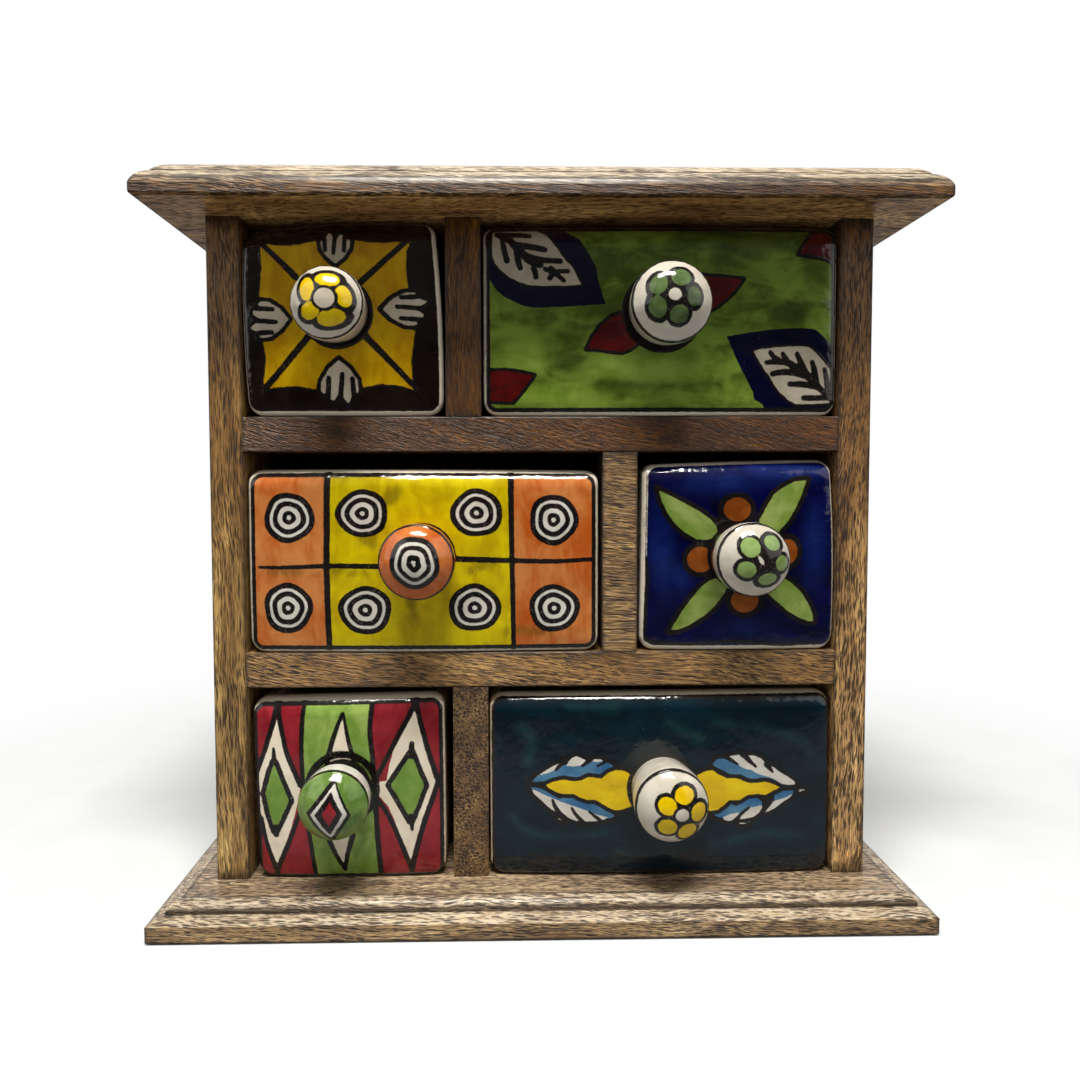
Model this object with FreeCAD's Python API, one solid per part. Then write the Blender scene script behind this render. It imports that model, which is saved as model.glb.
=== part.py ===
import FreeCAD
import Part
import math
import os

# Six-drawer jewellery chest: a wooden case with glazed ceramic drawers.
# Millimetres. X runs to the right, Y from the front to the back, Z up.
# The origin is the centre of the base board's underside, on the table.

# Case boards
CASE_WIDTH = 250.0
CASE_DEPTH = 100.0
SIDE_THICK = 12.5
SHELF_THICK = 13.4
PANEL_THICK = 4.0
ROW_HEIGHTS = (74.0, 76.2, 74.0)
DIVIDER_CENTRES = (-27.5, 29.6, -29.65)

# Top and base boards, whose front and side edges are routed
BASE_THICK = 12.0
TOP_THICK = 14.2
SIDE_OVERHANG = 17.6
FRONT_OVERHANG = 22.0
SOFT_EDGE = 1.2
BOARD_ARRIS = 0.7

# Their mouldings: an upright band up to a height, then a lower and an upper
# round, each given by its ends and a point between them. Every point is a
# distance in from the board's edge and a height above its underside.
BASE_MOULDING = {
    "upright": 6.4,
    "lower": ((0.0, 6.4), (2.4, 7.6), (5.2, 8.1)),
    "upper": ((5.2, 9.3), (6.8, 11.2), (9.4, BASE_THICK)),
}
TOP_MOULDING = {
    "upright": 4.0,
    "lower": ((0.0, 4.0), (1.7, 7.3), (5.3, 10.0)),
    "upper": ((5.3, 10.25), (7.6, 12.5), (10.9, TOP_THICK)),
}

# Ceramic drawers
DRAWER_DEPTH = 89.0
FRONT_PROUD = 1.5
CROWN = 2.2
FRONT_WALL = 7.0
WALL = 4.5
FLOOR = 5.0
RIM_DROP = 1.5
RIM_ROUND = 1.3
FRONT_ROUND = 2.6
CAVITY_ROUND = 2.5
LOW_CORNER = 6.0
HIGH_CORNER = 4.5
SLIDING_GAP = 0.2
OVERCUT = 1.0
NEAR = 1e-6

# Ceramic knobs: shares of the knob's radius, and distances forward of the
# drawer front
KNOB_FOOT = 0.88
KNOB_FLANK = 0.955
KNOB_RIM = 0.955
FLANK_AT = 7.0
SHOULDER_AT = 14.0
RIM_AT = 16.5
DOME_RISE = 6.5
KNOB_SEAT = 3.0

# Fixing of each knob: a stud into the knob, a washer and a nut inside
STUD_RADIUS = 2.0
STUD_CLEARANCE = 0.3
STUD_IN_KNOB = 11.0
STUD_TAIL = 1.2
WASHER_RADIUS = 4.5
WASHER_THICK = 0.8
NUT_ACROSS_FLATS = 7.0
NUT_THICK = 3.2

# Nails and screws of the case
NAIL_RADIUS = 0.8
NAIL_LENGTH = 30.0
NAIL_HEAD_RADIUS = 1.5
NAIL_HEAD_THICK = 0.8
TACK_RADIUS = 0.6
TACK_LENGTH = 14.0
TACK_HEAD_RADIUS = 1.3
TACK_HEAD_THICK = 0.6
SCREW_RADIUS = 1.75
SCREW_LENGTH = 34.0
SCREW_HEAD_RADIUS = 3.4
SCREW_HEAD_HEIGHT = 2.2
FIXING_INSET = 20.0
TACKS_UP_A_SIDE = 5
TACK_MARGIN = 15.0

# Where the boards end, worked out from the sizes above
BOARD_DEPTH = CASE_DEPTH + FRONT_OVERHANG
BOARD_WIDTH = CASE_WIDTH + 2 * SIDE_OVERHANG
BACK = BOARD_DEPTH / 2
CASE_FRONT = BACK - CASE_DEPTH
PANEL_FRONT = BACK - PANEL_THICK
OUTSIDE = CASE_WIDTH / 2
INSIDE = OUTSIDE - SIDE_THICK
ROW_FLOORS = (
    BASE_THICK,
    BASE_THICK + ROW_HEIGHTS[0] + SHELF_THICK,
    BASE_THICK + ROW_HEIGHTS[0] + ROW_HEIGHTS[1] + 2 * SHELF_THICK,
)
CASE_TOP = ROW_FLOORS[2] + ROW_HEIGHTS[2]
CHEST_TOP = CASE_TOP + TOP_THICK
FIXING_DEPTHS = (CASE_FRONT + FIXING_INSET, PANEL_FRONT - FIXING_INSET)

# Each drawer is hand-made, so its front is its own slightly skewed outline.
# bottom and top are the left and right X of the front's lower and upper edge,
# heights are its left and right height, and knob is the X and Z of the knob.
DRAWERS = {
    "top_left": {
        "row": 2,
        "bottom": (-110.2, -37.4),
        "top": (-111.8, -40.4),
        "heights": (69.2, 72.2),
        "knob": (-76.4, 227.4),
        "knob_radius": 13.0,
    },
    "top_right": {
        "row": 2,
        "bottom": (-22.1, 111.9),
        "top": (-22.2, 111.7),
        "heights": (71.4, 71.6),
        "knob": (45.2, 228.0),
        "knob_radius": 14.6,
    },
    "middle_left": {
        "row": 1,
        "bottom": (-111.2, 21.6),
        "top": (-111.4, 21.5),
        "heights": (69.5, 69.0),
        "knob": (-45.8, 135.9),
        "knob_radius": 13.8,
    },
    "middle_right": {
        "row": 1,
        "bottom": (37.1, 111.9),
        "top": (38.4, 110.4),
        "heights": (71.2, 73.2),
        "knob": (75.1, 136.3),
        "knob_radius": 13.4,
    },
    "bottom_left": {
        "row": 0,
        "bottom": (-109.2, -37.4),
        "top": (-110.8, -37.8),
        "heights": (69.4, 70.8),
        "knob": (-76.4, 47.9),
        "knob_radius": 12.8,
    },
    "bottom_right": {
        "row": 0,
        "bottom": (-20.0, 111.7),
        "top": (-20.2, 111.2),
        "heights": (70.3, 70.9),
        "knob": (46.3, 46.8),
        "knob_radius": 13.6,
    },
}


def point(x, y, z):
    return FreeCAD.Vector(x, y, z)


def block(x0, x1, y0, y1, z0, z1):
    return Part.makeBox(x1 - x0, y1 - y0, z1 - z0, point(x0, y0, z0))


def section_face(edges):
    return Part.Face(Part.Wire(Part.__sortEdges__(edges)))


# Routed boards
def moulding_edges(moulding, place):
    """The moulded end of a board's section: a soft lower edge, an upright
    band, a round, a small step and a second round up to the flat top.
    place turns a distance in from the edge and a height into a point."""

    def line(a, b):
        return Part.LineSegment(place(*a), place(*b)).toShape()

    def arc(*points):
        return Part.Arc(*[place(*p) for p in points]).toShape()

    soft_middle = SOFT_EDGE * (1 - math.sqrt(0.5))
    return [
        arc((SOFT_EDGE, 0), (soft_middle, soft_middle), (0, SOFT_EDGE)),
        line((0, SOFT_EDGE), (0, moulding["upright"])),
        arc(*moulding["lower"]),
        line(moulding["lower"][-1], moulding["upper"][0]),
        arc(*moulding["upper"]),
    ]


def routed_board(z, thick, moulding):
    """A board moulded along its front and both ends, square at the back."""
    front = -BOARD_DEPTH / 2
    half = BOARD_WIDTH / 2
    flat_from = moulding["upper"][-1][0]

    def at_front(inset, height):
        return point(-half, front + inset, z + height)

    def at_left(inset, height):
        return point(-half + inset, front, z + height)

    def at_right(inset, height):
        return point(half - inset, front, z + height)

    def line(a, b):
        return Part.LineSegment(a, b).toShape()

    back_low = point(-half, BACK, z)
    back_high = point(-half, BACK, z + thick)
    along = moulding_edges(moulding, at_front) + [
        line(at_front(flat_from, thick), back_high),
        line(back_high, back_low),
        line(back_low, at_front(SOFT_EDGE, 0)),
    ]
    across = (
        moulding_edges(moulding, at_left)
        + moulding_edges(moulding, at_right)
        + [
            line(at_left(flat_from, thick), at_right(flat_from, thick)),
            line(at_left(SOFT_EDGE, 0), at_right(SOFT_EDGE, 0)),
        ]
    )
    long_way = section_face(along).extrude(point(BOARD_WIDTH, 0, 0))
    deep_way = section_face(across).extrude(point(0, BOARD_DEPTH, 0))
    return long_way.common(deep_way).Solids[0]


# Plain boards
def plain_board(x0, x1, z0, z1, upright):
    """A board from the case's front to its back panel, with the two long
    edges of its front softened."""
    board = block(x0, x1, CASE_FRONT, PANEL_FRONT, z0, z1)

    def softened(edge):
        ends = [v.Point for v in edge.Vertexes]
        if any(abs(p.y - CASE_FRONT) > NEAR for p in ends):
            return False
        length_across = abs(ends[0].x - ends[1].x)
        return length_across < NEAR if upright else length_across > NEAR

    return board.makeFillet(BOARD_ARRIS, [e for e in board.Edges if softened(e)])


def case_boards():
    boards = {
        "base_board": routed_board(0, BASE_THICK, BASE_MOULDING),
        "top_board": routed_board(CASE_TOP, TOP_THICK, TOP_MOULDING),
        "left_side": plain_board(-OUTSIDE, -INSIDE, BASE_THICK, CASE_TOP, True),
        "right_side": plain_board(INSIDE, OUTSIDE, BASE_THICK, CASE_TOP, True),
        "back_panel": block(
            -OUTSIDE, OUTSIDE, PANEL_FRONT, BACK, BASE_THICK, CASE_TOP
        ),
    }
    for name, above in (("shelf_lower", 1), ("shelf_upper", 2)):
        floor = ROW_FLOORS[above]
        boards[name] = plain_board(-INSIDE, INSIDE, floor - SHELF_THICK, floor, False)
    rows = ("divider_bottom", "divider_middle", "divider_top")
    for row, name in enumerate(rows):
        x0 = DIVIDER_CENTRES[row] - SHELF_THICK / 2
        z0 = ROW_FLOORS[row]
        z1 = z0 + ROW_HEIGHTS[row]
        boards[name] = plain_board(x0, x0 + SHELF_THICK, z0, z1, True)
    return boards


# Nails and screws
def nail(tip_way, head_at, radius, length, head_radius, head_thick):
    """A flat-headed nail, its head flush where it is driven in."""
    shank = Part.makeCylinder(radius, length, head_at, tip_way)
    head = Part.makeCylinder(head_radius, head_thick, head_at, tip_way)
    return shank.fuse(head).removeSplitter().Solids[0]


def case_nail(head_at, tip_way):
    sizes = (NAIL_RADIUS, NAIL_LENGTH, NAIL_HEAD_RADIUS, NAIL_HEAD_THICK)
    return nail(tip_way, head_at, *sizes)


def tack(x, z):
    sizes = (TACK_RADIUS, TACK_LENGTH, TACK_HEAD_RADIUS, TACK_HEAD_THICK)
    return nail(point(0, -1, 0), point(x, BACK, z), *sizes)


def screw(x, y):
    """A countersunk wood screw up through the base board."""
    up = point(0, 0, 1)
    shank = Part.makeCylinder(SCREW_RADIUS, SCREW_LENGTH, point(x, y, 0), up)
    head = Part.makeCone(
        SCREW_HEAD_RADIUS, SCREW_RADIUS, SCREW_HEAD_HEIGHT, point(x, y, 0), up
    )
    return shank.fuse(head).removeSplitter().Solids[0]


def case_fixings():
    """Groups of alike nails or screws, by name."""
    side_middle = OUTSIDE - SIDE_THICK / 2
    up = point(0, 0, 1)
    down = point(0, 0, -1)
    shelf_middles = [floor - SHELF_THICK / 2 for floor in ROW_FLOORS[1:]]
    underside = [floor - SHELF_THICK for floor in ROW_FLOORS[1:]]
    groups = {"base_screws": [], "top_nails": [], "shelf_nails": [], "divider_nails": []}
    for y in FIXING_DEPTHS:
        for x in (-side_middle, DIVIDER_CENTRES[0], side_middle):
            groups["base_screws"].append(screw(x, y))
        for x in (-side_middle, DIVIDER_CENTRES[2], side_middle):
            groups["top_nails"].append(case_nail(point(x, y, CHEST_TOP), down))
        for z in shelf_middles:
            left = case_nail(point(-OUTSIDE, y, z), point(1, 0, 0))
            right = case_nail(point(OUTSIDE, y, z), point(-1, 0, 0))
            groups["shelf_nails"] += [left, right]
        for row in (0, 1):
            over = point(DIVIDER_CENTRES[row], y, ROW_FLOORS[row + 1])
            under = point(DIVIDER_CENTRES[row + 1], y, underside[row])
            groups["divider_nails"] += [case_nail(over, down), case_nail(under, up)]
    span = CASE_TOP - BASE_THICK - 2 * TACK_MARGIN
    tacks = []
    for i in range(TACKS_UP_A_SIDE):
        z = BASE_THICK + TACK_MARGIN + i * span / (TACKS_UP_A_SIDE - 1)
        tacks += [tack(-side_middle, z), tack(side_middle, z)]
    for z in shelf_middles:
        tacks += [tack(x * INSIDE / 2, z) for x in (-1, 0, 1)]
    groups["back_tacks"] = tacks
    return groups


# Ceramic drawers
def rounded_outline(corners, radii, y):
    """A closed outline through the corners, each turned by an arc."""
    edges = []
    arcs = []
    count = len(corners)
    for i, (x, z) in enumerate(corners):
        here = point(x, y, z)
        before = point(corners[i - 1][0], y, corners[i - 1][1]) - here
        after_x, after_z = corners[(i + 1) % count]
        after = point(after_x, y, after_z) - here
        before.normalize()
        after.normalize()
        half_angle = math.acos(before.dot(after)) / 2
        reach = radii[i] / math.tan(half_angle)
        middle = before + after
        middle.normalize()
        to_arc = radii[i] / math.sin(half_angle) - radii[i]
        arcs.append((here + before * reach, here + middle * to_arc, here + after * reach))
    for i in range(count):
        edges.append(Part.Arc(*arcs[i]).toShape())
        nearby = (arcs[i][2], arcs[(i + 1) % count][0])
        edges.append(Part.LineSegment(*nearby).toShape())
    return Part.Wire(edges)


def drawer_limits(spec):
    """The drawer's floor height, its cavity's sides and the rim's height."""
    floor = ROW_FLOORS[spec["row"]] + SLIDING_GAP
    left = max(spec["bottom"][0], spec["top"][0]) + WALL
    right = min(spec["bottom"][1], spec["top"][1]) - WALL
    rim = floor + min(spec["heights"]) - RIM_DROP
    return floor, left, right, rim


def drawer_blank(spec, floor):
    """The outside of the drawer: its outline run back, with a crowned and
    rounded front."""
    (low_left, low_right), (high_left, high_right) = spec["bottom"], spec["top"]
    corners = [
        (low_left, floor),
        (low_right, floor),
        (high_right, floor + spec["heights"][1]),
        (high_left, floor + spec["heights"][0]),
    ]
    radii = (LOW_CORNER, LOW_CORNER, HIGH_CORNER, HIGH_CORNER)
    foremost = CASE_FRONT - FRONT_PROUD
    outline = rounded_outline(corners, radii, foremost)
    length = DRAWER_DEPTH + FRONT_PROUD
    prism = Part.Face(outline).extrude(point(0, length, 0))
    middle_x = (low_left + low_right) / 2
    half_width = (low_right - low_left) / 2
    half_height = max(spec["heights"]) / 2
    crown_radius = (half_width**2 + half_height**2) / (2 * CROWN)
    centre = point(middle_x, foremost + crown_radius, floor + half_height)
    blank = prism.common(Part.makeSphere(crown_radius, centre)).Solids[0]
    crowned = [f for f in blank.Faces if isinstance(f.Surface, Part.Sphere)][0]
    return blank.makeFillet(FRONT_ROUND, crowned.Edges)


def drawer_tray(blank, floor, left, right, rim):
    """What is behind the front wall: floor, sides and back round a hollow
    that is open above, with every edge of the rim rounded."""
    front = CASE_FRONT + FRONT_WALL
    back = CASE_FRONT + DRAWER_DEPTH
    before = front - FRONT_WALL
    above = rim + WALL
    behind = block(
        -OUTSIDE, OUTSIDE, front, back + OVERCUT, floor - OVERCUT, rim
    )
    tray = blank.common(behind)
    hollow = block(left, right, before, back - WALL, floor + FLOOR, above)

    def inside_corner(edge):
        ends = [v.Point for v in edge.Vertexes]
        open_above = all(abs(p.z - above) < NEAR for p in ends)
        open_before = all(abs(p.y - before) < NEAR for p in ends)
        return not (open_above or open_before)

    corners = [e for e in hollow.Edges if inside_corner(e)]
    tray = tray.cut(hollow.makeFillet(CAVITY_ROUND, corners)).Solids[0]

    def on_rim(edge):
        ends = [v.Point for v in edge.Vertexes]
        at_wall = all(abs(p.y - front) < NEAR for p in ends)
        return all(abs(p.z - rim) < NEAR for p in ends) and not at_wall

    return tray.makeFillet(RIM_ROUND, [e for e in tray.Edges if on_rim(e)])


def drawer_box(spec):
    """One fired piece: front, floor, two sides and a back, open above, with
    a hole through the front for the knob's stud."""
    floor, left, right, rim = drawer_limits(spec)
    blank = drawer_blank(spec, floor)
    front_slab = block(
        -OUTSIDE,
        OUTSIDE,
        CASE_FRONT - FRONT_PROUD - OVERCUT,
        CASE_FRONT + FRONT_WALL,
        floor - OVERCUT,
        floor + max(ROW_HEIGHTS),
    )
    tray = drawer_tray(blank, floor, left, right, rim)
    body = blank.common(front_slab).fuse(tray).removeSplitter()
    mouth = point(spec["knob"][0], CASE_FRONT - FRONT_WALL, spec["knob"][1])
    hole_radius = STUD_RADIUS + STUD_CLEARANCE
    hole = Part.makeCylinder(hole_radius, 3 * FRONT_WALL, mouth, point(0, 1, 0))
    return body.cut(hole).Solids[0]


# Knobs and what holds them
def knob(spec, drawer):
    """A turned ceramic knob: a flank that swells from its foot to a rounded
    rim, and a low dome. Its foot is ground to the crown of the front."""
    x, z = spec["knob"]
    radius = spec["knob_radius"]
    face = CASE_FRONT - FRONT_PROUD

    def at(forward, out):
        return point(x + out, face - forward, z)

    foot = radius * KNOB_FOOT
    rim = radius * KNOB_RIM
    apex = RIM_AT + DOME_RISE
    dome = (rim**2 + DOME_RISE**2) / (2 * DOME_RISE)
    half_turn = math.asin(rim / dome) / 2
    dome_middle = at(
        apex - dome + dome * math.cos(half_turn), dome * math.sin(half_turn)
    )
    shoulder = at(SHOULDER_AT, radius)
    rim_round = at((SHOULDER_AT + RIM_AT) / 2, radius - (radius - rim) / 4)
    edges = [
        Part.LineSegment(at(-KNOB_SEAT, 0), at(-KNOB_SEAT, foot)).toShape(),
        Part.LineSegment(at(-KNOB_SEAT, foot), at(0, foot)).toShape(),
        Part.Arc(
            at(0, foot), at(FLANK_AT, radius * KNOB_FLANK), shoulder
        ).toShape(),
        Part.Arc(shoulder, rim_round, at(RIM_AT, rim)).toShape(),
        Part.Arc(at(RIM_AT, rim), dome_middle, at(apex, 0)).toShape(),
        Part.LineSegment(at(apex, 0), at(-KNOB_SEAT, 0)).toShape(),
    ]
    profile = section_face(edges)
    turned = profile.revolve(point(x, face, z), point(0, 1, 0), 360)
    plug = Part.makeCylinder(
        STUD_RADIUS + STUD_CLEARANCE, 2 * KNOB_SEAT, at(0, 0), point(0, 1, 0)
    )
    seated = turned.cut(drawer).cut(plug)
    body = max(seated.Solids, key=lambda s: s.Volume)
    socket = Part.makeCylinder(
        STUD_RADIUS, STUD_IN_KNOB + KNOB_SEAT, at(STUD_IN_KNOB, 0), point(0, 1, 0)
    )
    return body.cut(socket).Solids[0]


def knob_fixing(spec):
    """The stud, washer and nut that hold a knob, as three solids."""
    x, z = spec["knob"]
    inner = CASE_FRONT + FRONT_WALL
    backward = point(0, 1, 0)
    start = CASE_FRONT - FRONT_PROUD - STUD_IN_KNOB
    nut_front = inner + WASHER_THICK
    end = nut_front + NUT_THICK + STUD_TAIL
    stud = Part.makeCylinder(STUD_RADIUS, end - start, point(x, start, z), backward)
    washer = Part.makeCylinder(
        WASHER_RADIUS, WASHER_THICK, point(x, inner, z), backward
    )
    corner = NUT_ACROSS_FLATS / math.sqrt(3)
    turns = [math.radians(60 * i) for i in range(7)]
    hexagon = Part.makePolygon(
        [
            point(x + corner * math.cos(a), nut_front, z + corner * math.sin(a))
            for a in turns
        ]
    )
    nut = Part.Face(hexagon).extrude(point(0, NUT_THICK, 0))
    return stud, washer.cut(stud), nut.cut(stud)


def save(name, solids):
    shape = solids[0] if len(solids) == 1 else Part.makeCompound(solids)
    shape.exportStep("parts/" + name + ".step")
    valid = all(s.isValid() for s in solids)
    volume = sum(s.Volume for s in solids)
    print(f"{name}: {len(solids)} solid(s), {volume / 1000:.2f} cm3, valid {valid}")


def main():
    os.makedirs("parts", exist_ok=True)
    boards = case_boards()
    fixings = case_fixings()
    for name, board in boards.items():
        for group in fixings.values():
            near = [s for s in group if s.BoundBox.intersect(board.BoundBox)]
            board = board.cut(near) if near else board
        save(name, board.Solids)
    for name, group in fixings.items():
        save(name, group)
    for place, spec in DRAWERS.items():
        drawer = drawer_box(spec)
        stud, washer, nut = knob_fixing(spec)
        save("drawer_" + place, [drawer])
        save("knob_" + place, [knob(spec, drawer)])
        save("stud_" + place, [stud])
        save("washer_" + place, [washer])
        save("nut_" + place, [nut])


main()
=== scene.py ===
import math

import bpy
import numpy as np
from mathutils import Matrix, Vector
from mathutils.geometry import delaunay_2d_cdt


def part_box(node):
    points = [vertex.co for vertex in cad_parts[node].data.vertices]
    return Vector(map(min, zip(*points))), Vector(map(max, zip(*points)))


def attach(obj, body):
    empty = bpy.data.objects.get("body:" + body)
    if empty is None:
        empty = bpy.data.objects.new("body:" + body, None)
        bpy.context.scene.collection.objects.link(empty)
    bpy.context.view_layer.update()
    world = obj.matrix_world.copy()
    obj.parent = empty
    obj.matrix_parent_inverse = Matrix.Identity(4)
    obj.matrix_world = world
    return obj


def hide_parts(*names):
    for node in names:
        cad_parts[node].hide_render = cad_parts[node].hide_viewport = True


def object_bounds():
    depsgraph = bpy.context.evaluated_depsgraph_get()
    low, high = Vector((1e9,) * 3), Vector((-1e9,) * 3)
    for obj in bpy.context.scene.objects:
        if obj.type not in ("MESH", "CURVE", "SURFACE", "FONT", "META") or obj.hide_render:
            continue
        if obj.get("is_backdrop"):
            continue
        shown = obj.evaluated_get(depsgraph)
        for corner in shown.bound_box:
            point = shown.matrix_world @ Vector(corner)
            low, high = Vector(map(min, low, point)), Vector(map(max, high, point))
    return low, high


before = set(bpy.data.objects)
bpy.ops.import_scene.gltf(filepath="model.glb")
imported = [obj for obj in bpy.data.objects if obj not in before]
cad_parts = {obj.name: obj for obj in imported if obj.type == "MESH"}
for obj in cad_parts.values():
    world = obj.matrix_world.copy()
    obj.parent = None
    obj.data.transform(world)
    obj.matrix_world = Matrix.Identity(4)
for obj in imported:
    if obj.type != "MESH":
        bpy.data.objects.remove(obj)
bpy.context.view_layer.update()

# Sizes are millimetres in the chest's frame, and MM turns them to metres.
# Only the floor, the world and the lamps are in metres.
MM = 0.001

# Sizes of the chest that the painted pieces share with its solids
CASE_FRONT = -39.0
ROW_FLOORS = (12.2, 99.6, 189.2)
FRONT_PROUD = 1.5
CROWN = 2.2
FRONT_WALL = 7.0
FRONT_ROUND = 1.6
LOW_CORNER = 6.0
HIGH_CORNER = 4.5
DRAWER_BACK = 50.0
WALL = 4.5
FLOOR = 5.0
RIM_DROP = 1.5

# The glaze of the fronts: the spacing of their points, how much the margins
# fall back and over what reach, the roll of the upper edge, the round corner
# of the paint, and the most that a distance from a painted shape is kept to
FRONT_SPACING = 0.6
PILLOW = 0.85
PILLOW_REACH = 3.5
ROLL = 3.4
ROLL_REACH = 7.0
PAINT_CORNER = 4.0
PAINT_REACH = 6.0
FRONT_SWAY = 0.22

# The box behind a front: where it starts, how much its edges and its bed are
# rounded, and how uneven it is
TRAY_FRONT = CASE_FRONT + 4.0
TRAY_SOFT = 1.7
TRAY_HOLLOW = 4.0
TRAY_CORNER = 4.5
TRAY_SWAY = 0.16

# Knobs: shares of their radius, and distances forward of the front
KNOB_FOOT = 0.88
KNOB_FLANK = 0.955
KNOB_RIM = 0.955
FLANK_AT = 7.0
FLANK_STEPS = 8
SHOULDER_AT = 14.0
RIM_AT = 16.5
DOME_RISE = 6.5
DOME_SPACING = 0.5
KNOB_SEAT = 1.6
KNOB_TURNS = 144
KNOB_SWAY = 0.006

# Each drawer: row, lower and upper X of the front's sides, left and right
# height, and the X, Z and radius of its knob
DRAWERS = {
    "top_left": (2, (-110.2, -37.4), (-111.8, -40.4), (69.2, 72.2), (-76.4, 227.4, 13.0)),
    "top_right": (2, (-22.1, 111.9), (-22.2, 111.7), (71.4, 71.6), (45.2, 228.0, 14.6)),
    "middle_left": (1, (-111.2, 21.6), (-111.4, 21.5), (69.5, 69.0), (-45.8, 135.9, 13.8)),
    "middle_right": (1, (37.1, 111.9), (38.4, 110.4), (71.2, 73.2), (75.1, 136.3, 13.4)),
    "bottom_left": (0, (-109.2, -37.4), (-110.8, -37.8), (69.4, 70.8), (-76.4, 47.9, 12.8)),
    "bottom_right": (0, (-20.0, 111.7), (-20.2, 111.2), (70.3, 70.9), (46.3, 46.8, 13.6)),
}


# Camera, at the photograph's place
CAMERA_AT = (-13.745, -326.633, 166.057)
CAMERA_YAW = 0.998
CAMERA_PITCH = -2.413
CAMERA_ROLL = -0.112
PHOTO_SIDE = 1080
FOCAL_PX = 760.0
CENTRE_PX = (519.2, 509.4)
SENSOR = 36.0


def place_camera():
    data = bpy.data.cameras.new("camera")
    data.sensor_width = SENSOR
    data.lens = FOCAL_PX / PHOTO_SIDE * SENSOR
    data.shift_x = (PHOTO_SIDE / 2 - CENTRE_PX[0]) / PHOTO_SIDE
    data.shift_y = (CENTRE_PX[1] - PHOTO_SIDE / 2) / PHOTO_SIDE
    data.clip_start = 0.01
    camera = bpy.data.objects.new("camera", data)
    bpy.context.scene.collection.objects.link(camera)
    turn = (
        Matrix.Rotation(-math.radians(CAMERA_YAW), 4, "Z")
        @ Matrix.Rotation(math.radians(90 + CAMERA_PITCH), 4, "X")
        @ Matrix.Rotation(math.radians(CAMERA_ROLL), 4, "Z")
    )
    camera.matrix_world = Matrix.Translation(Vector(CAMERA_AT) * MM) @ turn
    bpy.context.scene.camera = camera


place_camera()


# Shader building
def srgb(r, g, b):
    def linear(v):
        v /= 255
        return v / 12.92 if v <= 0.04045 else ((v + 0.055) / 1.055) ** 2.4

    return (linear(r), linear(g), linear(b), 1.0)


class Shader:
    """A material's node tree, with one short call for each kind of node."""

    def __init__(self, name):
        self.material = bpy.data.materials.new(name)
        self.material.use_nodes = True
        self.tree = self.material.node_tree
        self.principled = self.tree.nodes["Principled BSDF"]

    def node(self, kind, values=(), **settings):
        made = self.tree.nodes.new(kind)
        for key, value in settings.items():
            setattr(made, key, value)
        for key, value in dict(values).items():
            self.put(made.inputs[key], value)
        return made

    def put(self, socket, value):
        if isinstance(value, bpy.types.NodeSocket):
            self.tree.links.new(value, socket)
        else:
            socket.default_value = value

    def finish(self, **values):
        for key, value in values.items():
            self.put(self.principled.inputs[key.replace("_", " ")], value)
        return self.material

    def calc(self, operation, a, b=0.0, c=0.0, clamp=False):
        values = {0: a, 1: b, 2: c}
        made = self.node("ShaderNodeMath", values, operation=operation, use_clamp=clamp)
        return made.outputs[0]

    def blend(self, factor, a, b, mode="MIX"):
        values = {0: factor, 6: a, 7: b}
        made = self.node("ShaderNodeMix", values, data_type="RGBA", blend_type=mode)
        return made.outputs[2]

    def step(self, value, low, high, to_low=0.0, to_high=1.0):
        values = {0: value, 1: low, 2: high, 3: to_low, 4: to_high}
        made = self.node("ShaderNodeMapRange", values, interpolation_type="SMOOTHSTEP")
        return made.outputs[0]

    def millimetres(self, shift=(0, 0, 0)):
        place = self.node("ShaderNodeTexCoord").outputs["Object"]
        values = {0: place, 1: (1 / MM,) * 3, 2: shift}
        return self.node("ShaderNodeVectorMath", values, operation="MULTIPLY_ADD").outputs[0]

    def noise(self, place, scale, detail=2.0, roughness=0.5, distortion=0.0):
        values = {
            "Vector": place,
            "Scale": scale,
            "Detail": detail,
            "Roughness": roughness,
            "Distortion": distortion,
        }
        return self.node("ShaderNodeTexNoise", values).outputs[0]

    def stretched(self, place, scales):
        values = {0: place, 1: scales}
        return self.node("ShaderNodeVectorMath", values, operation="MULTIPLY").outputs[0]

    def moved(self, place, shift):
        values = {0: place, 1: (shift,) * 3}
        return self.node("ShaderNodeVectorMath", values, operation="ADD").outputs[0]

    def attribute(self, name):
        return self.node("ShaderNodeAttribute", attribute_name=name).outputs["Fac"]

    def bump(self, height):
        values = {"Height": height, "Strength": 1.0, "Distance": MM}
        return self.node("ShaderNodeBump", values).outputs[0]

    def cells(self, place, scale=1.0):
        values = {"Vector": place, "Scale": scale, "Randomness": 1.0}
        return self.node("ShaderNodeTexVoronoi", values).outputs["Distance"]


# Wood
WOOD_DARK = srgb(104, 78, 50)
WOOD_MID = srgb(152, 122, 82)
WOOD_LIGHT = srgb(190, 160, 114)
PORE = srgb(40, 25, 15)
# Below: a dark for edges, partly scorching and partly painted shade where parts meet, and a pale for moulded
# faces, partly wear and partly a painted sheen.
SCORCH_AND_SHADE = srgb(38, 25, 16)
BARE_AND_SHEEN = srgb(222, 206, 180)

# How far in from its sides a board is moulded
MOULDED = 9.8


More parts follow.
